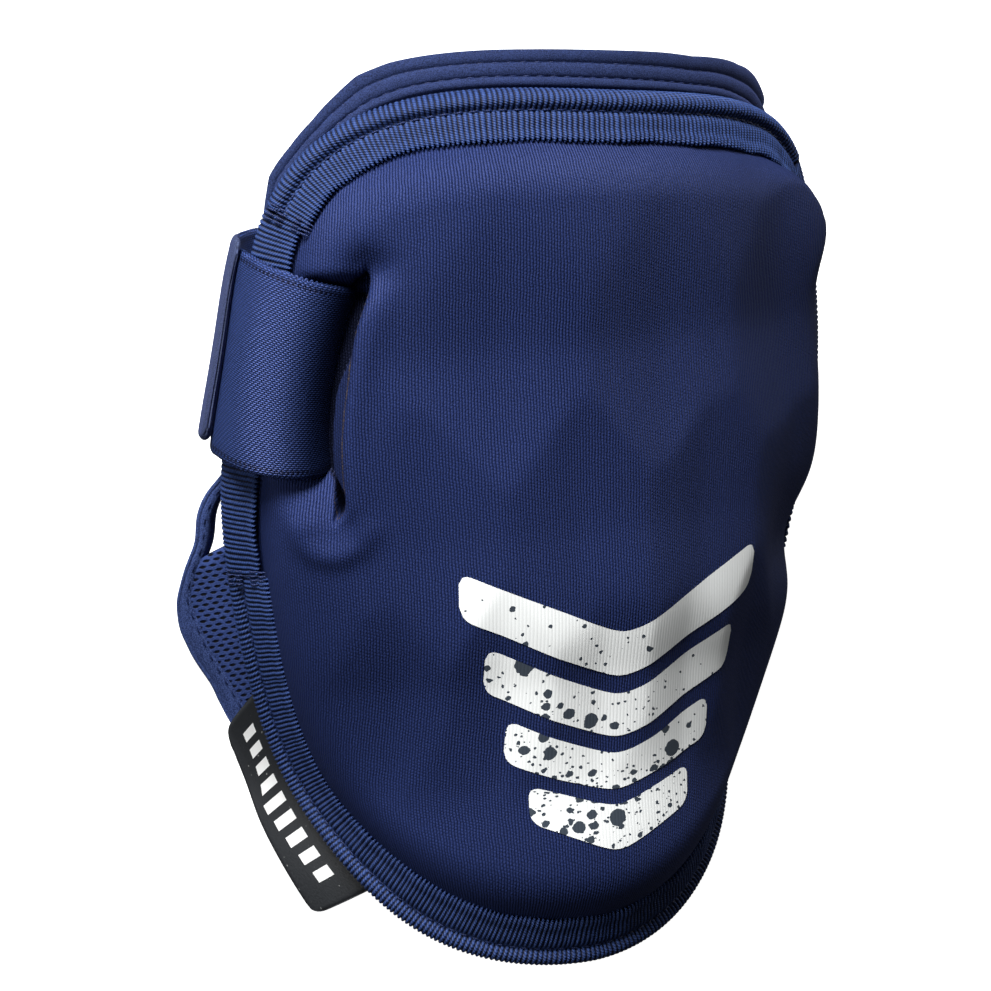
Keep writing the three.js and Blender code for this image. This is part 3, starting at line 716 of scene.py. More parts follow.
def square_inset(length, inset):
    """Place at an inset square to the rim, at a length along it."""
    across, y = rim_at(angle_at_length(length))
    before = stacked(*rim_at(angle_at_length(length - SHORT_STEP)))
    after = stacked(*rim_at(angle_at_length(length + SHORT_STEP)))
    heading = unit(after - before)
    return across - heading[..., 1] * inset, y + heading[..., 0] * inset


def rim_through(across, y):
    """Inset of a place along its line from the pad's middle."""
    direction = np.arctan2(y - RIM_MIDDLE, across)

    def before(angle):
        rim_across, rim_y = rim_at(angle)
        return np.sin(np.arctan2(rim_y - RIM_MIDDLE, rim_across) - direction) < 0

    rim_across, rim_y = rim_at(halved(direction - RIM_SEARCH, direction + RIM_SEARCH, before))
    return np.hypot(rim_across, rim_y - RIM_MIDDLE) - np.hypot(across, y - RIM_MIDDLE)


def rim_distance(across, y):
    """Shortest distance on the sheet from places inside the outline to it."""
    rim = stacked(*rim_at(angle_at_length(np.linspace(0, OUTLINE_WHOLE, RIM_SAMPLES))))
    places = stacked(np.ravel(across), np.ravel(y))
    nearest = np.empty(len(places))
    for start in range(0, len(places), RIM_BLOCK):
        apart = places[start:start + RIM_BLOCK, None, :] - rim[None, :, :]
        nearest[start:start + RIM_BLOCK] = np.sqrt((apart ** 2).sum(axis=-1).min(axis=1))
    return nearest.reshape(np.shape(across))


def grid_faces(rows, columns, wrap=False, first=0):
    r, c = np.meshgrid(np.arange(rows - 1), np.arange(columns if wrap else columns - 1), indexing="ij")
    c_next = (c + 1) % columns
    corners = [r * columns + c, r * columns + c_next, (r + 1) * columns + c_next, (r + 1) * columns + c]
    return (np.stack(corners, axis=-1).reshape(-1, 4) + first).tolist()


def tube_faces(rows, columns):
    """Closed sections joined along a line, capped at both ends."""
    faces = grid_faces(rows, columns, wrap=True)
    faces.append(list(range(columns)))
    faces.append(list(range((rows - 1) * columns, rows * columns))[::-1])
    return faces


def shell_faces(front_rings, back_rings, stations, back_first):
    """A front and a back of rings, joined along their first rings and open in the middle."""
    faces = grid_faces(front_rings, stations, wrap=True)
    faces += [face[::-1] for face in grid_faces(back_rings, stations, wrap=True, first=back_first)]
    for i in range(stations):
        i_next = (i + 1) % stations
        faces.append([i_next, i, back_first + i, back_first + i_next])
    return faces


def piece(name, points, faces, weave, material):
    """Mesh of the part's frame in metres, with its weave coordinates in millimetres."""
    mesh = bpy.data.meshes.new(name)
    placed = (np.asarray(points, float).reshape(-1, 3) + np.array(BOX_SHIFT)) / MM
    mesh.from_pydata(placed.tolist(), [], faces)
    attribute = mesh.attributes.new("weave", "FLOAT_VECTOR", "POINT")
    attribute.data.foreach_set("vector", np.asarray(weave, np.float32).reshape(-1))
    mesh.materials.append(material)
    mesh.shade_smooth()
    mesh.update()
    thing = bpy.data.objects.new(name, mesh)
    bpy.context.scene.collection.objects.link(thing)
    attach(thing, "root")
    return thing


def turn_outwards(thing):
    """Flips a closed mesh whose faces look inwards."""
    mesh = thing.data
    mesh.calc_loop_triangles()
    corners = np.empty(len(mesh.loop_triangles) * 3, np.int32)
    mesh.loop_triangles.foreach_get("vertices", corners)
    places = np.empty(len(mesh.vertices) * 3, np.float32)
    mesh.vertices.foreach_get("co", places)
    a, b, c = places.reshape(-1, 3)[corners.reshape(-1, 3)].transpose(1, 0, 2).astype(float)
    if (a * np.cross(b, c)).sum() < 0:
        mesh.flip_normals()
    return thing


def swept_piece(name, sections, weave, material):
    faces = tube_faces(*sections.shape[:2])
    return turn_outwards(piece(name, sections, faces, weave, material))


def merged_piece(name, parts, material):
    """One piece of many small meshes, each as its points, faces and weave."""
    points = []
    faces = []
    weave = []
    first = 0
    for part_points, part_faces, part_weave in parts:
        faces += [[first + corner for corner in face] for face in part_faces]
        points.append(part_points.reshape(-1, 3))
        weave.append(part_weave.reshape(-1, 3))
        first += len(points[-1])
    return piece(name, np.concatenate(points), faces, np.concatenate(weave), material)


def band_sections(grid, half_thick):
    """Closed sections of a band from its middle surface: rows along it, half thickness per column."""
    normal = unit(np.cross(np.gradient(grid, axis=0), np.gradient(grid, axis=1)))
    offset = normal * np.asarray(half_thick)[..., None]
    return np.concatenate([grid + offset, (grid - offset)[:, ::-1]], axis=1)


def both_faces(values):
    return np.concatenate([values, values[:, ::-1]], axis=1)


def hollow_depth(across, y):
    """Depth of the soft diamond hollows under the tight cover."""
    total = np.zeros(np.shape(across))
    for row_y, first, pitch, count, half_wide, half_tall, depth in HOLLOWS:
        for i in range(count):
            sideways = np.sqrt(((across - first - i * pitch) / half_wide) ** 2 + HOLLOW_SOFTNESS ** 2)
            lengthways = np.sqrt(((y - row_y) / half_tall) ** 2 + HOLLOW_SOFTNESS ** 2)
            inside = 1 + 2 * HOLLOW_SOFTNESS - sideways - lengthways
            soft = (inside + np.sqrt(inside ** 2 + HOLLOW_SOFTNESS ** 2)) / 2
            total += (depth * soft) ** HOLLOW_JOIN
    return total ** (1 / HOLLOW_JOIN)


def slot_bow(along):
    """How far the slot's middle line bows out to the left."""
    return SLOT_BOW * np.maximum(0, 1 - (along / SLOT_HALF_LONG) ** 2)


def slot_axes(across, y):
    """Place along the slot's middle line and sideways from it."""
    off_across = across - SLOT_ACROSS
    off_y = y - SLOT_Y
    along = off_across * math.sin(SLOT_TILT) + off_y * math.cos(SLOT_TILT)
    sideways = off_across * math.cos(SLOT_TILT) - off_y * math.sin(SLOT_TILT)
    return along, sideways + slot_bow(along)


def slot_drop(along, sideways):
    """How far the cover goes down at the slot, and the depth in it that sets the darker facing, the cut edge
    and the painted black shade.
    """
    to_end = SLOT_HALF_LONG - np.abs(along)
    share = np.abs(along) / SLOT_HALF_LONG
    half_wide = np.maximum(SLOT_HALF_WIDE * (1 - share ** SLOT_END_POWER), 0)
    right = half_wide * (1 - SLOT_HEAD_NARROW * ramp(along, *SLOT_HEAD_RAMP))
    left = half_wide * (1 - SLOT_FOOT_NARROW * ramp(-along, *SLOT_FOOT_RAMP))
    centre = (right - left) / 2
    on_right = sideways > centre
    out = np.abs(sideways - centre) - (right + left) / 2
    out = np.where(to_end < 0, np.hypot(sideways, to_end), out)
    rounded = rounded_corner(SLOT_LIP, out)
    facing = FACING_WIDE * on_right * ease(to_end / FACING_CLOSE)
    facing = facing * ramp(-along, *FACING_HEAD) * ramp(along, *FACING_FOOT)
    slant = FACING_DROP * np.clip(-out / FACING_WIDE, 0, 1) * (facing > 0)
    wall = (SLOT_DEPTH - SLOT_LIP - slant) * ease((-out - facing) / SLOT_WALL_OVER) + slant
    ends = ramp(-along, -SLOT_HALF_LONG, PRESSED_CLOSE) * ramp(along, *PRESSED_FOOT)
    pressed = PRESSED_DROP * ramp(-out, -PRESSED_REACH, PRESSED_REACH) * ends * (sideways < centre)
    return np.maximum(rounded + wall, pressed), rounded * on_right + wall


def slot_pucker(along, sideways):
    """Rise of the lips beside the slot and the crescent round its lower end."""
    beside = ease((SLOT_HALF_LONG + LIP_BEYOND - np.abs(along)) / LIP_FADE)
    below = -along - SLOT_HALF_LONG
    away = np.hypot(below, sideways)
    lower_side = ramp(below / np.maximum(away, PUCKER_NEAREST), *PUCKER_SIDE)
    risen = swell(sideways, LIP) * beside + swell(away, PUCKER) * lower_side
    upper = np.hypot(along - SLOT_HALF_LONG, sideways)
    return risen - swell(away, PUCKER_DENT) - swell(upper, FUNNEL)


def cover_height(across, y):
    """Height of the padded front over the arch, with its fuller shoulder and creased waist on the right."""
    over = PAD_RISE_OVER - CORNER_STEEPER * ramp(across, *CORNER_ACROSS) * ramp(y, *CORNER_ALONG)
    risen = np.clip((rim_distance(across, y) - PAD_RISE_FROM) / over, 0, 1)
    full = 1 - (1 - risen) ** 2
    height = PAD_EDGE + (PAD_FULL - PAD_EDGE) * full - hollow_depth(across, y) * full
    right = (swell(y, SHOULDER) - swell(y, CREASE)) * ramp(across, *RIGHT_SIDE)
    return height + (slot_pucker(*slot_axes(across, y)) + right) * full


def cover_angles():
    """Angles of the outline, closer together beside the slot."""
    length = np.linspace(0, OUTLINE_WHOLE, COVER_SAMPLES)
    across, y = rim_at(angle_at_length(length))
    by_slot = (across < 0) * ramp(y, *COVER_FINE_FROM) * ramp(-y, *COVER_FINE_TO)
    step = COVER_STEP + (COVER_FINE_STEP - COVER_STEP) * by_slot
    passed = np.concatenate([[0], np.cumsum(np.diff(length) / step[1:])])
    count = int(passed[-1])
    return angle_at_length(np.interp(np.arange(count) * passed[-1] / count, passed, length))


def slot_inset(angles):
    """Inset at which each line to the middle crosses the slot, carried smoothly round the outline."""
    across, y = rim_at(angles)
    reach = np.hypot(across, y - RIM_MIDDLE)
    turn = np.mod(np.arctan2(y - RIM_MIDDLE, across), 2 * math.pi)
    line = (math.sin(SLOT_TILT), math.cos(SLOT_TILT))
    to_slot = (SLOT_ACROSS, SLOT_Y - RIM_MIDDLE)
    tip = SLOT_HALF_LONG + COVER_SLOT_TIP
    tips = [(to_slot[0] + along * line[0], to_slot[1] + along * line[1]) for along in (tip, -tip)]
    inside = np.clip(turn, *[math.atan2(tip_y, tip_across) % (2 * math.pi) for tip_across, tip_y in tips])
    crossing = to_slot[0] * line[1] - to_slot[1] * line[0]
    distance = crossing / (np.cos(inside) * line[1] - np.sin(inside) * line[0])
    edge_reach = np.interp(inside, np.sort(turn), reach[np.argsort(turn)])
    share = 1 - distance / edge_reach
    off = np.abs(turn - inside)
    off = np.minimum(off, 2 * math.pi - off)
    share = share + (COVER_USUAL_SHARE - share) * ease(off / COVER_USUAL_OVER)
    return share * reach, reach


def cover_insets(angles):
    middle_inset, reach = slot_inset(angles)
    first = np.full(len(angles), COVER_FIRST_INSET)
    last = reach - COVER_MIDDLE_GAP
    knots = [first, middle_inset - COVER_SLOT_BAND, middle_inset + COVER_SLOT_BAND, last]
    insets = []
    for count, start, end in zip(COVER_RINGS, knots, knots[1:]):
        insets += [start + (end - start) * i / count for i in range(count)]
    return np.array([*insets, last])


def fan(first, count, middle):
    return [[first + i, first + (i + 1) % count, middle] for i in range(count)]


def pad_cover(material):
    """Padded front: its dished and slotted face, closed by a plain back."""
    angles = cover_angles()
    across, y = inset_from_rim(angles, cover_insets(angles))
    drop, seen = slot_drop(*slot_axes(across, y))
    front = lifted(across, y, cover_height(across, y) - drop)
    back_inset = np.array((COVER_FIRST_INSET, *PAD_BACK_RINGS))[:, None]
    back_across, back_y = inset_from_rim(angles, back_inset)
    back = lifted(back_across, back_y, PAD_BACK - PAD_BACK_BULGE * ramp(back_inset, *PAD_BACK_RAMP))
    middle = (np.array([0.0]), np.array([RIM_MIDDLE]))
    front_middle = lifted(*middle, cover_height(*middle))
    back_middle = lifted(*middle, PAD_BACK - PAD_BACK_BULGE)
    points = [front.reshape(-1, 3), front_middle, back.reshape(-1, 3), back_middle]
    at_middle = [[0.0, RIM_MIDDLE, 0.0]]
    front_weave = stacked(across, y, seen).reshape(-1, 3)
    back_weave = stacked(back_across, back_y, 0.0).reshape(-1, 3)
    weave = [front_weave, at_middle, back_weave, at_middle]
    rings, stations = across.shape
    front_end = rings * stations
    back_first = front_end + 1
    back_end = back_first + len(back_inset) * stations
    faces = shell_faces(rings, len(back_inset), stations, back_first)
    faces += fan(front_end - stations, stations, front_end)
    faces += [face[::-1] for face in fan(back_end - stations, stations, back_end)]
    thing = piece("pad_cover", np.concatenate(points), faces, np.concatenate(weave), material)
    turn_outwards(thing)
    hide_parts("front_pad")


def joint_lengths():
    """Lengths along the outline at which the tapes meet, at the part's own stations."""
    stations = np.arange(RIM_STATIONS) * OUTLINE_WHOLE / RIM_STATIONS
    across, y = rim_at(angle_at_length(stations))
    found = {}
    for side_name, side in (("right", 1), ("left", -1)):
        for place_name, place in zip(("lower", "upper"), TAPE_JOINT_Y):
            off = np.where(np.sign(across) == side, np.abs(y - place), np.inf)
            found[f"{place_name}_{side_name}"] = stations[np.argmin(off)]
    return found


def tape_normals(face):
    """Outward directions of the tape's face on its profile."""
    heading = np.gradient(face, axis=0)
    normal = unit(np.stack([heading[:, 1], -heading[:, 0]], axis=-1))
    away = face - np.array(TAPE_CORE)
    return normal * np.sign((normal * away).sum(axis=1))[:, None]


def tape(name, start, end, profile, material, seed):
    """One folded tape over the rim, with ribs across it and a looped edge."""
    face = np.array(profile)
    place, level = face.T
    normal = tape_normals(face)
    count = int((end - start - 2 * TAPE_GAP) / (TAPE_RIB / TAPE_RIB_STEPS))
    length = np.linspace(start + TAPE_GAP, end - TAPE_GAP, count)[:, None]
    counted = math.pi * (length + TAPE_RIB_WANDER * wander(length, TAPE_RIB_SPACING, seed + 3)) / TAPE_RIB
    two_tier = place[0] > TAPE_FLAT_FACE[0][0]
    turned = counted + TAPE_TIER_STEP * two_tier * (place < SEAM_INSET)
    rib = np.abs(np.cos(turned)) ** TAPE_RIB_POWER
    slow = wander(length, TAPE_SLOW_SPACING, seed)
    slow = slow + TAPE_QUICK_SHARE * wander(length, TAPE_QUICK_SPACING, seed + 1)
    edge = wander(length, TAPE_EDGE_SPACING, seed + 2)
    front = ramp(level, *TAPE_FRONT)
    loose = ramp(place, *TAPE_INSIDE) * front
    at_loops = ramp(place, place[0] - TAPE_LOOP_WIDE, TAPE_LOOP_WIDE / 2) * front
    cut = (rib - 1) * TAPE_RIB_DEPTH * (1 + TAPE_LOOP_CUT * at_loops)
    loops = TAPE_LOOP * np.cos(turned) ** 2 * at_loops
    inset = place + edge * TAPE_EDGE_WANDER * loose + cut * normal[:, 0] + loops
    height = level + slow * TAPE_WANDER * loose + cut * normal[:, 1]
    bright = np.maximum(rib, TAPE_LOOP_BRIGHT * at_loops)
    back = np.broadcast_to(np.array(TAPE_BACK), (count, len(TAPE_BACK), 2))
    inset = np.concatenate([inset, back[..., 0]], axis=1)
    height = np.concatenate([height, back[..., 1]], axis=1)
    bright = np.concatenate([bright, np.zeros(back.shape[:2])], axis=1)
    across, y = square_inset(length, inset)
    weave = stacked(length, inset, bright)
    thing = swept_piece(f"{name}_tape", lifted(across, y, height), weave, material)
    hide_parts(name)


def widened(face, extra):
    """A two-tier face whose inner tier reaches further in."""
    whole = face[0][0] - SEAM_INSET
    return [(inset + extra * max(0, inset - SEAM_INSET) / whole, height) for inset, height in face]


def tapes(material):
    joint = joint_lengths()
    lower_end = joint["lower_right"] + OUTLINE_WHOLE
    rows = [
        ("top_binding", joint["upper_right"], joint["upper_left"], TAPE_FACE),
        ("left_binding", joint["upper_left"], joint["lower_left"], TAPE_FLAT_FACE),
        ("right_binding", joint["lower_right"], joint["upper_right"], TAPE_FLAT_FACE),
        ("lower_binding", joint["lower_left"], lower_end, widened(TAPE_FACE, TAPE_LOWER_EXTRA)),
    ]
    for row, seed in zip(rows, TAPE_SEEDS):
        tape(*row, material, seed)


def thread(path, radius):
    """One short round thread along a path, tapered into the cloth at both ends."""
    rows = len(path)
    turn = np.arange(THREAD_SIDES) * 2 * math.pi / THREAD_SIDES
    along = unit(np.gradient(path, axis=0))
    across = unit(np.cross(along, THREAD_ASIDE))
    up = np.cross(across, along)
    taper = np.sin(np.linspace(THREAD_TIP, math.pi - THREAD_TIP, rows)) ** THREAD_TAPER * radius
    ring = across[:, None, :] * np.cos(turn)[None, :, None] + up[:, None, :] * np.sin(turn)[None, :, None]
    weave = stacked(np.arange(rows)[:, None] * THREAD_STEP, turn, 0.0)
    return path[:, None, :] + ring * taper[:, None, None], tube_faces(rows, THREAD_SIDES), weave


def stitches(name, paths, radius, material):
    parts = [thread(path, radius) for path in paths]
    turn_outwards(merged_piece(name, parts, material))


def tape_stitches(material):
    """Running stitch sunk into the valley of the two-tier tapes, and bars across the joints."""
    paths = []
    joints = joint_lengths()
    top = np.arange(joints["upper_right"], joints["upper_left"] - STITCH_PITCH, STITCH_PITCH)
    lower_end = joints["lower_right"] + OUTLINE_WHOLE - STITCH_PITCH
    lower = np.arange(joints["lower_left"], lower_end, STITCH_PITCH)
    for start in np.concatenate([top, lower]):
        across, y = square_inset(start + STITCH_SHARES * STITCH_LONG, SEAM_INSET)
        paths.append(lifted(across, y, SEAM_HEIGHT + TAPE_STITCH_DIP))
    for joint in (joints["upper_left"], joints["lower_left"]):
        for off in BAR_PLACES:
            for inset, height in BARS:
                across, y = square_inset(joint + off, inset + (STITCH_SHARES - 0.5) * BAR_LONG)
                paths.append(lifted(across, y, height + TAPE_STITCH_DIP))
    stitches("tape_stitches", paths, STITCH_RADIUS, material)


def liner_place(angle, beyond, depth, lift=0.0):
    """Place on the lining, kept above the table: sharply, or in a soft bend of a given lift."""
    across, y = inset_from_rim(angle, -beyond)
    face = LINER_FACE + LINER_FLARE * np.maximum(0, beyond - LINER_FLARE_FROM)
    points = lifted(across, y, face - depth)
    z = points[..., 2]
    points[..., 2] = (z + np.sqrt(z * z + lift * lift)) / 2
    return points


def liner_panel(material):
    """Perforated lining, its two faces joined at the edge."""
    stations = int(OUTLINE_WHOLE / PANEL_STEP)
    angles = angle_at_length(np.arange(stations) * OUTLINE_WHOLE / stations)
    across, y = rim_at(angles)
    edge = linear_column(HEM, HEM_PANEL, y) + PANEL_TUCK
    shares = np.linspace(0, PANEL_LAST_SHARE, PANEL_RINGS)[:, None] ** PANEL_BUNCHING
    beyond = edge - (edge + np.hypot(across, y - RIM_MIDDLE)) * shares
    points = np.concatenate([liner_place(angles, beyond, depth) for depth in (PANEL_DEPTH, LINER_THICK)])
    weave = stacked(*inset_from_rim(angles, -beyond), 0.0)
    back_first = PANEL_RINGS * stations
    faces = shell_faces(PANEL_RINGS, PANEL_RINGS, stations, back_first)
    last_ring = np.arange(back_first - stations, back_first)
    faces.append(last_ring.tolist())
    faces.append((last_ring + back_first)[::-1].tolist())
    both = np.concatenate([weave, weave])
    thing = turn_outwards(piece("liner_panel_mesh", points, faces, both, material))
    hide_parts("liner_panel")


def hem_stretch(step):
    start = length_at_y(HEM_END_Y, -1)
    end = length_at_y(HEM_END_Y, 1) + OUTLINE_WHOLE
    return np.linspace(start, end, int((end - start) / step))


def hem_edge(column, y):
    """One edge of the hem beyond the rim, eased between the rows of the table."""
    offsets = np.linspace(-HEM_EVENING, HEM_EVENING, HEM_EVENING_STEPS)
    even = np.mean([linear_column(HEM, column, y + off) for off in offsets], axis=0)
    keep = ease((HEM_END_Y - y) / HEM_KEEP_OVER)
    return even * keep + linear_column(HEM, column, y) * (1 - keep)


def liner_hem(material):
    """Soft folded edge of the lining, round at its outer fold."""
    length = hem_stretch(HEM_STEP)
    angles = angle_at_length(length)[:, None]
    _, y = rim_at(angles)
    inner = hem_edge(HEM_INNER, y)
    outer = hem_edge(HEM_OUTER, y)
    half = LINER_THICK / 2
    turn = np.linspace(math.pi / 2, -math.pi / 2, HEM_ROUND)
    flat = np.linspace(0, 1, HEM_SECTION)
    top = inner + (outer - inner - half) * flat
    round_over = outer - half + half * np.cos(turn)
    beyond = np.concatenate([top, round_over, top[:, ::-1]], axis=1)
    puff = HEM_PUFF * np.sin(math.pi * flat) ** HEM_PUFF_POWER
    depth = np.concatenate([HEM_TOP - puff, half - half * np.sin(turn), np.full(HEM_SECTION, HEM_UNDER)])
    sections = liner_place(angles, beyond, depth)
    weave = stacked(length[:, None], beyond, depth)
    thing = swept_piece("liner_hem_fold", sections, weave, material)
    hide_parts("liner_hem")


def hem_stitches(material):
    paths = []
    for start in hem_stretch(STITCH_PITCH)[:-1]:
        angle = angle_at_length(start + STITCH_SHARES * STITCH_LONG)
        beyond = hem_edge(HEM_INNER, rim_at(angle)[1]) + HEM_STITCH_IN
        paths.append(liner_place(angle, beyond, -HEM_STITCH_LIFT - SOFT_STITCH_DIP))
    stitches("hem_stitches", paths, FINE_STITCH_RADIUS, material)


def collar_face(share):
    """Height of the collar's front over its rolls."""
    height = np.full(np.shape(share), LINER_FACE)
    for start, end, rise, base in COLLAR_ROLLS:
        inside = 1 - ((share - (start + end) / 2) / ((end - start) / 2)) ** 2
        roll = base + rise * np.sqrt(np.maximum(inside, 0))
        height = np.where((share >= start) & (share < end), roll, height)
    return height


def collar_ends():
    return length_at_y(COLLAR_END_Y[0], 1), length_at_y(COLLAR_END_Y[1], -1)


def collar_place(angles, share, height):
    """Points on the collar by share of its reach, and how far beyond the rim they are."""
    reach = linear_column(COLLAR_REACH, 1, rim_at(angles)[0])
    beyond = COLLAR_FOOT + (reach - COLLAR_FOOT) * share
    return lifted(*inset_from_rim(angles, -beyond), height), beyond


def collar(material):
    """Rolled collar above the upper binding, in three sewn tiers."""
    start, end = collar_ends()
    length = np.linspace(start, end, int((end - start) / COLLAR_STEP))[:, None]
    rolls = np.linspace(COLLAR_ROLLS[0][0], 1.0, COLLAR_COLUMNS)
    front = np.concatenate([COLLAR_FOOT_SHARES, rolls])
    under, under_height = np.array(COLLAR_UNDER).T
    share = np.concatenate([front, under])
    uneven = wander(length, COLLAR_SPACING, COLLAR_SEED) * COLLAR_WANDER * ramp(share, *COLLAR_LOOSE)
    height = np.concatenate([collar_face(front), under_height]) + uneven
    sections, beyond = collar_place(angle_at_length(length), share, height)
    thing = swept_piece("collar_rolls", sections, stacked(length, beyond, height), material)
    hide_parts("collar_band")


def collar_stitches(material):
    """Two rows of stitches in the valleys between the collar's tiers."""
    paths = []
    first, last = collar_ends()
    for start in np.arange(first + COLLAR_SEAM_END, last - COLLAR_SEAM_END, STITCH_PITCH):
        angle = angle_at_length(start + STITCH_SHARES * STITCH_LONG)
        paths += [collar_place(angle, share, height + SOFT_STITCH_DIP)[0] for share, height in COLLAR_SEAMS]
    stitches("collar_stitches", paths, FINE_STITCH_RADIUS, material)


def strap_place(sideways, travel):
    """Place on the pad at a travel outwards from the slot, sideways from the strap's middle line."""
    rise = (STRAP_RIM_Y - STRAP_SLOT_Y) / STRAP_RIM_TRAVEL
    slot_across = SLOT_ACROSS + STRAP_SLOT_SHIFT + (STRAP_SLOT_Y - SLOT_Y) * math.tan(SLOT_TILT)
    left = np.clip(1 - travel / STRAP_RIM_TRAVEL, 0, 1)
    drawn_in = sideways * (1 - STRAP_NECK * left)
    along = drawn_in + (STRAP_SLOT_Y - SLOT_Y) / math.cos(SLOT_TILT)
    across = slot_across - travel + drawn_in * math.sin(SLOT_TILT) - slot_bow(along) * left
    return across, STRAP_SLOT_Y + rise * travel + drawn_in * math.cos(SLOT_TILT)


def travel_to_rim(sideways):
    nothing = np.zeros(len(sideways))

    def inside(travel):
        return rim_through(*strap_place(sideways, travel)) > STRAP_RIM_INSET

    return halved(nothing, nothing + 2 * STRAP_RIM_TRAVEL, inside)


def strap_over_pad(sideways, share):
    """Strap between the slot's lip and the rim, by its share of that way: rows of points."""
    share = np.asarray(share)[:, None]
    travel = STRAP_LIP_RADIUS + (travel_to_rim(sideways) - STRAP_LIP_RADIUS) * share
    height = STRAP_RIM_HEIGHT + (STRAP_CREST - STRAP_RIM_HEIGHT) * np.cos(share * math.pi / 2)
    return lifted(*strap_place(sideways, travel), height)


def strap_out_of_slot(sideways, slot_rows, lip_rows):
    """Strap inside the slot and round its lip."""
    turn = np.linspace(0, math.pi / 2, lip_rows)[1:]
    travel = np.concatenate([np.zeros(slot_rows), STRAP_LIP_RADIUS * (1 - np.cos(turn))])
    rise = np.linspace(STRAP_LIP_FOOT, STRAP_LIP_TOP, slot_rows)
    height = np.concatenate([rise, STRAP_LIP_TOP + STRAP_LIP_RADIUS * np.sin(turn)])
    return lifted(*strap_place(sideways, travel[:, None]), height[:, None])


def bezier(start, start_handle, end_handle, end, count):
    t = np.linspace(0, 1, count)[:, None, None]
    first = start * (1 - t) ** 3 + start_handle * 3 * t * (1 - t) ** 2
    return first + end_handle * 3 * t * t * (1 - t) + end * t ** 3


def on_table(sideways, x):
    return stacked(x, STRAP_BACK_Y + sideways, STRAP_THICK / 2)


def left_turn(sideways, count):
    start = strap_over_pad(sideways, [1.0])[0]
    heading = unit(np.array([STRAP_INWARDS, 0, -1]))
    end = on_table(sideways, -STRAP_FLOOR_X)
    end_handle = on_table(sideways, -STRAP_FLOOR_X - STRAP_LEFT_HANDLE)
    return bezier(start, start + heading * STRAP_RIM_HANDLE, end_handle, end, count)


def under_right_rim(sideways, inset):
    angle = rim_angle_at_y(STRAP_RIGHT_Y + sideways, 1)
    return lifted(*inset_from_rim(angle, inset), STRAP_RIGHT_HEIGHT)


def right_turn(sideways, count):
    start = on_table(sideways, STRAP_FLOOR_X)
    end = under_right_rim(sideways, STRAP_RIGHT_INSET)
    heading = unit(under_right_rim(sideways, STRAP_RIGHT_INSET + 1) - end)
    start_handle = on_table(sideways, STRAP_FLOOR_X + STRAP_RIGHT_FLOOR_HANDLE)
    return bezier(start, start_handle, end - heading * STRAP_RIGHT_HANDLE, end, count)


def even_rows(grid, step):
    """Rows of a band set at even steps along its middle line."""
    middle = grid[:, grid.shape[1] // 2]
    lengths = np.concatenate([[0], np.cumsum(np.linalg.norm(np.diff(middle, axis=0), axis=1))])
    wanted = np.arange(0, lengths[-1], step)
    index = np.clip(np.searchsorted(lengths, wanted) - 1, 0, len(lengths) - 2)
    share = (wanted - lengths[index]) / (lengths[index + 1] - lengths[index])
    return grid[index] + (grid[index + 1] - grid[index]) * share[:, None, None], wanted


def softened(grid, rows):
    """Rows of a band eased over their neighbours, so that its folds are round."""
    reach = rows // 2
    longer = np.concatenate([grid[:1]] * reach + [grid] + [grid[-1:]] * reach)
    return np.mean([longer[i:i + len(grid)] for i in range(rows)], axis=0)


def strap_grid(sideways):
    """Whole strap as rows of points, from inside the slot to its sewn end under the right rim."""
    slot_rows, lip_rows, pad_rows, left_rows, table_rows, right_rows, rim_rows = STRAP_ROWS
    floor_places = np.linspace(-STRAP_FLOOR_X, STRAP_FLOOR_X, table_rows)[1:-1]
    rim_insets = np.linspace(STRAP_RIGHT_INSET, STRAP_RIGHT_END, rim_rows)[1:]
    return np.concatenate([
        strap_out_of_slot(sideways, slot_rows, lip_rows),
        strap_over_pad(sideways, np.linspace(0, 1, pad_rows)[1:]),
        left_turn(sideways, left_rows)[1:],
        on_table(sideways, floor_places[:, None]),
        right_turn(sideways, right_rows),
        [under_right_rim(sideways, inset) for inset in rim_insets],
    ])


def strap(material):
    """Elastic strap with looped selvedges."""
    flat_half = STRAP_WIDE / 2 - STRAP_EDGE
    edge = flat_half + STRAP_EDGE * STRAP_EDGE_SHARES
    inner = np.linspace(-flat_half, flat_half, STRAP_INNER_COLUMNS)
    sideways = np.concatenate([-edge[::-1], inner, edge])
    grid, length = even_rows(strap_grid(sideways), STRAP_STEP)
    grid = softened(grid, STRAP_SOFTENING)
    picot = PICOT_DEPTH * (np.abs(np.sin(math.pi * length / PICOT_PITCH)) - PICOT_LEVEL)
    off_edge = (np.abs(sideways) - flat_half) / STRAP_EDGE
    loops = picot[:, None] * np.sign(sideways) * ease(off_edge)
    grid = grid + unit(np.gradient(grid, axis=1)) * loops[..., None]
    half_thick = STRAP_THICK / 2 * np.sqrt(1 - np.clip(off_edge, 0, STRAP_EDGE_MOST) ** 2)
    sections = band_sections(grid, half_thick)
    sections[..., 2] = np.maximum(sections[..., 2], 0)
    weave = both_faces(stacked(length[:, None], sideways, 0.0))
    thing = swept_piece("strap_band", sections, weave, material)
    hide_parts("strap")


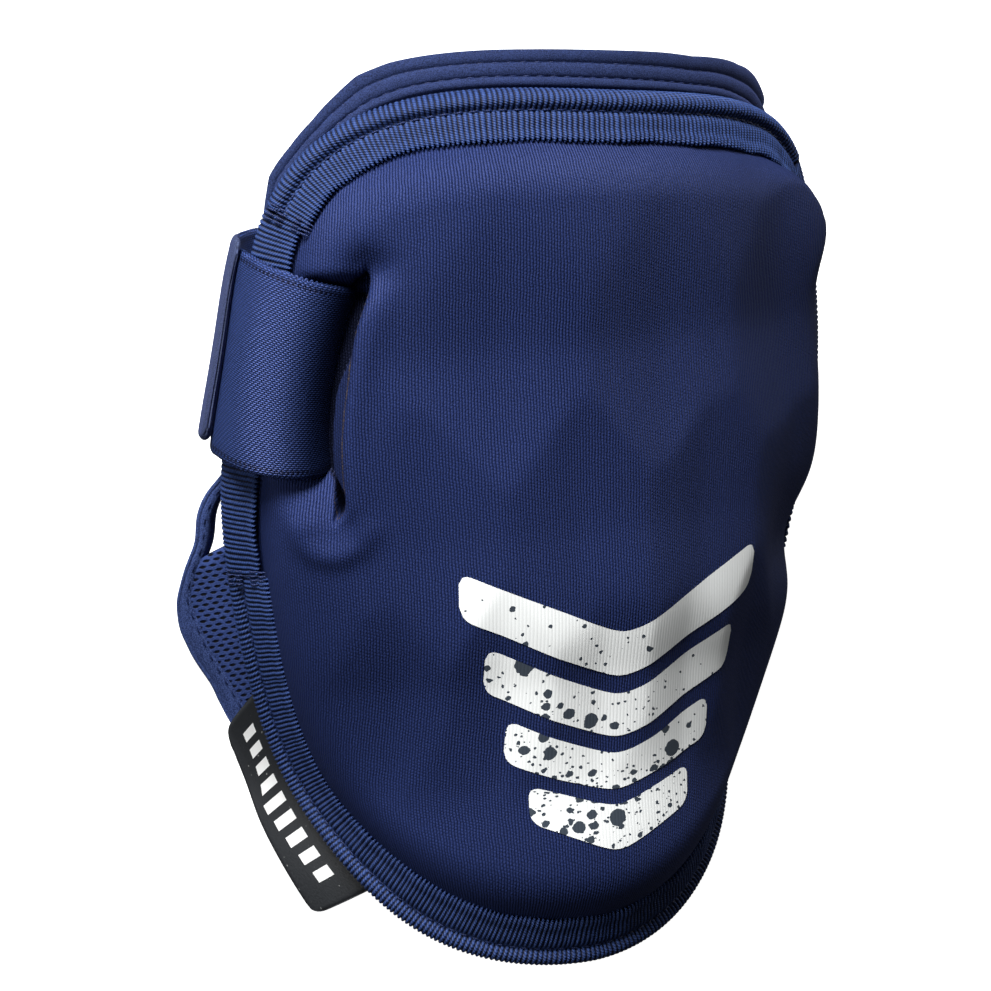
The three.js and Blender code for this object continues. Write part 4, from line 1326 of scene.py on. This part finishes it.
def tab(material):
    """Brushed tab on the strap's outer face, with rounded corners and edges."""
    half = STRAP_WIDE / 2
    shares = np.sin(np.linspace(-1, 1, TAB_COLUMNS) * math.pi / 2)
    sideways = shares * half + TAB_SHIFT
    down = np.linspace(0, TAB_LONG, TAB_ROWS)[:, None]
    lean = TAB_LEAN * down + TAB_BEND * ease(down / TAB_LONG) ** 2
    grid, length = even_rows(strap_over_pad(sideways, [1.0]) + stacked(lean, 0.0, -down), TAB_STEP)
    outwards = unit(np.cross(np.gradient(grid, axis=1), np.gradient(grid, axis=0)))
    half_thick = (TAB_THICK[0] + (TAB_THICK[1] - TAB_THICK[0]) * (shares + 1) / 2) / 2
    grid = grid + outwards * (STRAP_THICK / 2 + TAB_GAP + half_thick)[:, None]
    from_end = np.minimum(length, length[-1] - length)[:, None]
    from_side = half * (1 - np.abs(shares))
    keep = 1 - rounded_corner(TAB_CORNER, from_end) / half
    middle = grid[:, [(TAB_COLUMNS - 1) // 2]]
    grid = middle + (grid - middle) * keep[..., None]
    near = np.clip(1 - np.minimum(from_end, from_side) / TAB_ROUND, 0, TAB_ROUND_MOST)
    sections = band_sections(grid, half_thick * np.sqrt(1 - near ** 2))
    weave = both_faces(stacked(length[:, None], sideways, 0.0))
    thing = swept_piece("strap_tab_felt", sections, weave, material)
    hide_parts("strap_tab")


def tag_points(down, share, over):
    """Points on the tag: share down its length, share out from its seam, height over the lining."""
    seam = TAG_SEAM[0] + (TAG_SEAM[1] - TAG_SEAM[0]) * down
    free = TAG_FREE[0] + (TAG_FREE[1] - TAG_FREE[0]) * down
    angle = rim_angle_at_y(seam + (free - seam) * share, -1)
    return liner_place(angle, TAG_INNER + TAG_REACH * share, -over, TAG_LIFT)


def tag(material):
    """Rubber tag, rounded at its free corners."""
    down, share = np.meshgrid(np.linspace(0, 1, TAG_ROWS), np.linspace(0, 1, TAG_COLUMNS), indexing="ij")
    from_free = (1 - share) * TAG_REACH
    down = 0.5 + (down - 0.5) * (1 - 2 * rounded_corner(TAG_CORNER, from_free) / TAG_TALL)
    from_edge = np.minimum(from_free, np.minimum(down, 1 - down) * TAG_TALL)
    near = np.clip(1 - from_edge / TAG_ROUND, 0, TAG_ROUND_MOST)
    grid = tag_points(down, share, TAG_OVER + TAG_THICK / 2)
    sections = band_sections(grid, TAG_THICK / 2 * np.sqrt(1 - near ** 2))
    sections[..., 2] = np.maximum(sections[..., 2], 0)
    weave = both_faces(stacked(down * TAG_TALL, share * TAG_REACH, 0.0))
    thing = swept_piece("tag_rubber", sections, weave, material)
    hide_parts("side_tag")


def tag_marks(material):
    """Plain bars printed on the tag, shorter from one to the next."""
    parts = []
    rows, columns = TAG_BAR_GRID
    for i in range(TAG_BARS):
        place, width = (first + i * step for first, step in (TAG_BAR_PLACE, TAG_BAR_WIDE))
        down = place + np.linspace(-0.5, 0.5, rows) * TAG_BAR_LONG / TAG_TALL
        share = TAG_BAR_FROM + np.linspace(0, width, columns)
        down, share = np.meshgrid(down, share, indexing="ij")
        points = tag_points(down, share, TAG_OVER + TAG_THICK + TAG_BAR_OVER)
        weave = stacked(down * TAG_TALL, share * TAG_REACH, 0.0)
        parts.append((points, grid_faces(rows, columns), weave))
    merged_piece("tag_marks", parts, material)


def chevron(place, half_wide):
    """Grid of one chevron on the flat print: its rounded apex down, its ends rounded."""
    aside = np.linspace(-half_wide, half_wide, PRINT_STATIONS)[:, None]
    depth = place - PRINT_SLOPE * (np.sqrt(aside ** 2 + PRINT_APEX ** 2) - PRINT_APEX)
    half_tall = PRINT_STROKE / 2 - rounded_corner(PRINT_CORNER, half_wide - np.abs(aside))
    return aside, depth + half_tall * np.linspace(-1, 1, PRINT_COLUMNS)


def front_print(material):
    """Film of chevrons on the pad, following its cover."""
    parts = []
    for row in PRINT_CHEVRONS:
        aside, down = chevron(*row)
        across = PRINT_TOP[0] + aside * math.cos(PRINT_TURN) + down * math.sin(PRINT_TURN)
        y = PRINT_TOP[1] + aside * math.sin(PRINT_TURN) - down * math.cos(PRINT_TURN)
        points = lifted(across, y, cover_height(across, y) + PRINT_OVER)
        parts.append((points, grid_faces(*across.shape), stacked(across, y, 0.0)))
    merged_piece("front_print", parts, material)


def linear_colour(code):
    parts = [int(code[i:i + 2], 16) / 255 for i in (1, 3, 5)]
    return [c / 12.92 if c <= 0.04045 else ((c + 0.055) / 1.055) ** 2.4 for c in parts] + [1.0]


class Cloth:
    """A material in the making, with short names for the nodes that it is made of."""

    def __init__(self, name, roughness, sheen, gloss):
        self.material = bpy.data.materials.new(name)
        self.material.use_nodes = True
        self.nodes = self.material.node_tree.nodes
        self.shader = self.nodes["Principled BSDF"].inputs
        self.feed(self.shader["Roughness"], roughness)
        self.feed(self.shader["Specular IOR Level"], gloss)
        self.feed(self.shader["Sheen Weight"], sheen)
        self.feed(self.shader["Sheen Roughness"], SHEEN_ROUGHNESS)
        self.feed(self.shader["Sheen Tint"], SHEEN_BLUE)

    def feed(self, socket, value):
        if isinstance(value, bpy.types.NodeSocket):
            self.material.node_tree.links.new(value, socket)
        elif isinstance(value, str):
            socket.default_value = linear_colour(value)
        else:
            socket.default_value = value

    def filled(self, node, values):
        for socket, value in zip(node.inputs, values):
            self.feed(socket, value)
        return node.outputs

    def weave(self):
        """The weave coordinates of a piece, whole and as their three parts."""
        attribute = self.nodes.new("ShaderNodeAttribute")
        attribute.attribute_name = "weave"
        whole = attribute.outputs["Vector"]
        return whole, *self.filled(self.nodes.new("ShaderNodeSeparateXYZ"), [whole])[:3]

    def calc(self, operation, *values):
        node = self.nodes.new("ShaderNodeMath")
        node.operation = operation
        return self.filled(node, values)[0]

    def times(self, first, second):
        return self.calc("MULTIPLY", first, second)

    def line(self, value, factor, base):
        return self.calc("MULTIPLY_ADD", value, factor, base)

    def ridge(self, value, pitch):
        """Rounded ridges of a pitch: 1 on the ridge, 0 in the groove."""
        return self.calc("ABSOLUTE", self.calc("SINE", self.times(value, math.pi / pitch)))

    def number(self, value, pitch):
        """Number of the row of a pitch."""
        return self.calc("FLOOR", self.calc("DIVIDE", value, pitch))

    def off_middle(self, value, pitch):
        """Place in the row of a pitch, as a share of it from its middle."""
        return self.calc("SUBTRACT", self.calc("FRACT", self.calc("DIVIDE", value, pitch)), 0.5)

    def noise(self, vector, scale, detail=2.0, output=0):
        node = self.nodes.new("ShaderNodeTexNoise")
        self.feed(node.inputs["Vector"], vector)
        self.feed(node.inputs["Scale"], scale)
        self.feed(node.inputs["Detail"], detail)
        return node.outputs[output]

    def spread(self, value, low, high, to_low=0.0, to_high=1.0):
        node = self.nodes.new("ShaderNodeMapRange")
        node.interpolation_type = "SMOOTHSTEP"
        return self.filled(node, (value, low, high, to_low, to_high))[0]

    def blend(self, share, dark, light):
        node = self.nodes.new("ShaderNodeMix")
        node.data_type = "RGBA"
        for i, value in zip(MIX_INPUTS, (share, dark, light)):
            self.feed(node.inputs[i], value)
        return node.outputs[MIX_RESULT]

    def finished(self, colour, height, relief):
        node = self.nodes.new("ShaderNodeBump")
        self.feed(node.inputs["Strength"], 1.0)
        self.feed(node.inputs["Distance"], relief / MM)
        self.feed(node.inputs["Height"], height)
        self.feed(self.shader["Normal"], node.outputs[0])
        self.feed(self.shader["Base Color"], colour)
        return self.material


def knit_material():
    """Knit cover: fine upright wales of small stitches, with painted shade down the slot's facing, a cut
    edge, and painted black shade deep in the slot.
    """
    cloth = Cloth("knit_cover", *KNIT_FINISH)
    cloth.feed(cloth.shader["Specular Tint"], GLOSS_BLUE)
    vector, across, along, drop = cloth.weave()
    drift = cloth.line(cloth.noise(vector, KNIT_DRIFT_SCALE), KNIT_DRIFT, across)
    staggered = cloth.line(cloth.number(drift, KNIT_WALE), KNIT_STAGGER, along)
    stitch = cloth.ridge(staggered, KNIT_STITCH)
    height = cloth.times(cloth.ridge(drift, KNIT_WALE), cloth.line(stitch, *KNIT_STITCH_LINE))
    grain = cloth.noise(vector, *KNIT_GRAIN)
    tone = cloth.times(cloth.calc("POWER", height, KNIT_POWER), cloth.line(grain, *KNIT_SPECKLE))
    cloud = cloth.noise(vector, KNIT_CLOUD_SCALE)
    tone = cloth.times(tone, cloth.spread(cloud, *KNIT_CLOUD))
    colour = cloth.blend(tone, KNIT_GROOVE, KNIT_RIDGE)
    # Painted shade: darker down the slot's facing
    colour = cloth.blend(cloth.spread(drop, *FACING_SHADE), colour, KNIT_GROOVE)
    at_edge = cloth.times(cloth.spread(drop, *CUT_EDGE_FROM), cloth.spread(drop, *CUT_EDGE_TO))
    cut_edge = cloth.times(at_edge, cloth.spread(grain, *CUT_EDGE_GRAIN))
    colour = cloth.blend(cut_edge, colour, LINING_EDGE)
    # Painted shade: the slot's deep inside turns black
    colour = cloth.blend(cloth.spread(drop, *SLOT_SHADE_FROM), colour, SLOT_SHADE_BLACK)
    return cloth.finished(colour, cloth.line(grain, KNIT_FUZZ, height), KNIT_RELIEF)


def tape_material():
    """Ribbed tape: bright rib threads with a twist, dark between them."""
    cloth = Cloth("ribbed_tape", *TAPE_FINISH)
    vector, along, inset, rib = cloth.weave()
    twist = cloth.ridge(cloth.line(along, TAPE_TWIST, inset), TAPE_TWIST_PITCH)
    grain = cloth.noise(vector, *TAPE_GRAIN)
    tone = cloth.times(cloth.spread(rib, *TAPE_RIB_RANGE), cloth.line(twist, *TAPE_THREAD))
    tone = cloth.times(tone, cloth.line(grain, *TAPE_SPECKLE))
    colour = cloth.blend(tone, TAPE_GROOVE, TAPE_RIDGE)
    return cloth.finished(colour, cloth.line(grain, TAPE_FUZZ, twist), TAPE_RELIEF)


def strap_material():
    """Woven elastic: short satin floats that step aside from row to row, with painted shade that darkens it
    and dims its gloss towards the slot.
    """
    cloth = Cloth("strap_elastic", *STRAP_FINISH)
    cloth.feed(cloth.shader["Specular Tint"], GLOSS_BLUE)
    vector, along, sideways, _ = cloth.weave()
    stepped = cloth.line(cloth.number(sideways, STRAP_ROW), STRAP_STAGGER, along)
    float_round = cloth.calc("POWER", cloth.ridge(stepped, STRAP_FLOAT), STRAP_FLOAT_POWER)
    height = cloth.times(cloth.ridge(sideways, STRAP_ROW), float_round)
    tone = cloth.times(height, cloth.line(cloth.noise(vector, *STRAP_GRAIN), *STRAP_SPECKLE))
    outer = cloth.calc("ABSOLUTE", sideways)
    at_holes = cloth.times(cloth.spread(outer, *PICOT_ROW_FROM), cloth.spread(outer, *PICOT_ROW_TO))
    hole = cloth.times(at_holes, cloth.spread(cloth.ridge(along, PICOT_PITCH), *PICOT_HOLE))
    tone = cloth.times(tone, cloth.calc("SUBTRACT", 1.0, hole))
    # Painted shade: darker and less glossy towards the slot
    tone = cloth.times(tone, cloth.spread(along, *STRAP_SLOT_SHADE))
    cloth.feed(cloth.shader["Specular IOR Level"], cloth.spread(along, *STRAP_SLOT_SHADE_GLOSS))
    return cloth.finished(cloth.blend(tone, STRAP_GROOVE, STRAP_RIDGE), height, STRAP_RELIEF)


def jersey_material(name, dark, light, sheen, fuzz):
    """Brushed jersey: fine uneven fuzz with soft clouds."""
    cloth = Cloth(name, JERSEY_ROUGHNESS, sheen, JERSEY_GLOSS)
    vector = cloth.weave()[0]
    fine = cloth.noise(vector, *JERSEY_FINE)
    cloud = cloth.noise(vector, JERSEY_CLOUD)
    tone = cloth.line(cloud, JERSEY_CLOUD_SHARE, cloth.spread(fine, *JERSEY_RANGE))
    return cloth.finished(cloth.blend(tone, dark, light), fine, fuzz)


def perforated_material():
    """Mesh lining: jersey with staggered small holes."""
    cloth = Cloth("liner_mesh", *MESH_FINISH)
    vector, across, along, _ = cloth.weave()
    row = cloth.calc("ADD", cloth.number(along, MESH_ROW), MESH_ROWS_BELOW)
    stagger = cloth.calc("MODULO", row, 2.0)
    off_x = cloth.off_middle(cloth.calc("ADD", across, stagger), MESH_COLUMN)
    off_y = cloth.times(cloth.off_middle(along, MESH_ROW), MESH_ROW)
    square = cloth.line(off_x, off_x, cloth.times(off_y, off_y))
    solid = cloth.spread(cloth.calc("SQRT", square), *MESH_EDGE)
    fine = cloth.noise(vector, *MESH_FINE)
    colour = cloth.blend(solid, MESH_HOLE, cloth.blend(fine, JERSEY_DARK, MESH_LIGHT))
    return cloth.finished(colour, cloth.line(fine, MESH_FUZZ, solid), MESH_RELIEF)


def thread_material():
    cloth = Cloth("sewing_thread", *THREAD_FINISH)
    _, along, turn, _ = cloth.weave()
    twist = cloth.ridge(cloth.line(turn, THREAD_TWIST, along), THREAD_PITCH)
    return cloth.finished(cloth.blend(twist, KNIT_GROOVE, THREAD_BLUE), twist, THREAD_RELIEF)


def rubber_material():
    """Soft rubber with a fine grain and a few pale specks."""
    cloth = Cloth("tag_rubber", *RUBBER_FINISH)
    vector = cloth.weave()[0]
    fine = cloth.noise(vector, *RUBBER_FINE)
    speck = cloth.spread(cloth.noise(vector, *RUBBER_SPECKS), *RUBBER_SPECK)
    colour = cloth.blend(speck, cloth.blend(fine, RUBBER_DARK, RUBBER_LIGHT), MARK_WHITE)
    cloth.feed(cloth.shader["Roughness"], cloth.spread(fine, *RUBBER_ROUGHNESS))
    return cloth.finished(colour, fine, RUBBER_RELIEF)


def mark_material():
    cloth = Cloth("mark_white", *MARK_FINISH)
    fine = cloth.noise(cloth.weave()[0], MARK_GRAIN)
    return cloth.finished(cloth.blend(fine, FLOOR_PALE, MARK_WHITE), fine, MARK_RELIEF)


def spatter(cloth, vector, cell, low, high, thick):
    """Round blots of one size: 1 in a blot, with the share of cells that hold one growing with thick."""
    node = cloth.nodes.new("ShaderNodeTexVoronoi")
    cloth.feed(node.inputs["Scale"], 1 / cell)
    cloth.feed(node.inputs["Vector"], vector)
    chance = cloth.filled(cloth.nodes.new("ShaderNodeSeparateColor"), [node.outputs["Color"]])
    kept = cloth.calc("LESS_THAN", chance[0], thick)
    radius = cloth.line(chance[1], high - low, low)
    return cloth.times(kept, cloth.calc("LESS_THAN", node.outputs["Distance"], radius))


def print_material():
    """Off-white film with dark blots, thicker towards its lower left."""
    cloth = Cloth("front_print", *PRINT_FINISH)
    vector, across, along, _ = cloth.weave()
    warp = cloth.nodes.new("ShaderNodeVectorMath")
    warp.operation = "MULTIPLY_ADD"
    uneven = cloth.noise(vector, PRINT_WARP_SCALE, output="Color")
    bent = cloth.filled(warp, (uneven, PRINT_WARP, vector))[0]
    thick = cloth.line(across, PRINT_LEFT, cloth.line(along, *PRINT_LOW))
    blot = 0.0
    for cell, low, high, share in PRINT_BLOTS:
        blot = cloth.calc("MAXIMUM", blot, spatter(cloth, bent, cell, low, high, cloth.line(thick, *share)))
    white = cloth.blend(cloth.noise(vector, PRINT_GRAIN), PRINT_WHITE, MARK_WHITE)
    colour = cloth.blend(blot, white, PRINT_SLATE)
    return cloth.finished(colour, cloth.ridge(across, PRINT_RIB), PRINT_RELIEF)


def floor_material():
    paint = Cloth("pale_floor", *FLOOR_FINISH)
    place = paint.nodes.new("ShaderNodeTexCoord").outputs["Object"]
    grain = paint.noise(place, FLOOR_GRAIN)
    paint.feed(paint.shader["Base Color"], paint.blend(grain, FLOOR_PALE, MARK_WHITE))
    paint.feed(paint.shader["Emission Color"], WHITE)
    paint.feed(paint.shader["Emission Strength"], FLOOR_GLOW)
    return paint.material


def floor():
    mesh = bpy.data.meshes.new("floor")
    corners = [(x * FLOOR_HALF, y * FLOOR_HALF, -FLOOR_DROP) for x, y in FLOOR_CORNERS]
    mesh.from_pydata(corners, [], [(0, 1, 2, 3)])
    mesh.materials.append(floor_material())
    thing = bpy.data.objects.new("floor", mesh)
    thing.visible_diffuse = False
    thing.visible_glossy = False
    bpy.context.scene.collection.objects.link(thing)


def lights():
    scene = bpy.context.scene
    aim = Vector(CAMERA_TARGET) / MM
    for name, (place, (width, tall), power) in LIGHTS.items():
        data = bpy.data.lights.new(name, "AREA")
        data.shape = "RECTANGLE"
        data.size = width
        data.size_y = tall
        data.energy = power
        lamp = bpy.data.objects.new(name, data)
        lamp.location = place
        lamp.rotation_euler = (aim - Vector(place)).to_track_quat("-Z", "Y").to_euler()
        scene.collection.objects.link(lamp)
    scene.world = bpy.data.worlds.new("studio")
    scene.world.use_nodes = True
    background = scene.world.node_tree.nodes["Background"].inputs
    background["Color"].default_value = WHITE
    background["Strength"].default_value = WORLD_LIGHT
    scene.view_settings.view_transform = "Standard"


def camera():
    """Camera at the photograph's angle: looking down on the guard from its lower left, slightly rolled."""
    back = Vector((
        -math.sin(CAMERA_SIDE) * math.cos(CAMERA_LIFT),
        math.sin(CAMERA_LIFT),
        math.cos(CAMERA_SIDE) * math.cos(CAMERA_LIFT),
    ))
    level = Vector((math.cos(CAMERA_SIDE), 0, math.sin(CAMERA_SIDE)))
    upright = back.cross(level)
    right = level * math.cos(CAMERA_ROLL) - upright * math.sin(CAMERA_ROLL)
    up = level * math.sin(CAMERA_ROLL) + upright * math.cos(CAMERA_ROLL)
    data = bpy.data.cameras.new("camera")
    data.angle = 2 * math.atan(CAMERA_HALF_VIEW / CAMERA_DISTANCE)
    data.clip_start = CAMERA_NEAREST
    thing = bpy.data.objects.new("camera", data)
    thing.matrix_world = Matrix((right, up, back)).transposed().to_4x4()
    thing.location = (Vector(CAMERA_TARGET) + back * CAMERA_DISTANCE) / MM
    bpy.context.scene.collection.objects.link(thing)
    bpy.context.scene.camera = thing


def guard():
    sewing = thread_material()
    jersey = jersey_material("liner_hem", JERSEY_DARK, JERSEY_LIGHT, sheen=0.12, fuzz=0.14)
    collar_cloth = jersey_material("collar_cloth", COLLAR_DARK, COLLAR_LIGHT, sheen=0.16, fuzz=0.16)
    felt = jersey_material("tab_cloth", TAB_DARK, TAB_LIGHT, sheen=0.2, fuzz=0.25)
    pad_cover(knit_material())
    tapes(tape_material())
    tape_stitches(sewing)
    liner_panel(perforated_material())
    liner_hem(jersey)
    hem_stitches(sewing)
    collar(collar_cloth)
    collar_stitches(sewing)
    strap(strap_material())
    tab(felt)
    tag(rubber_material())
    tag_marks(mark_material())
    front_print(print_material())


camera()
lights()
floor()
guard()
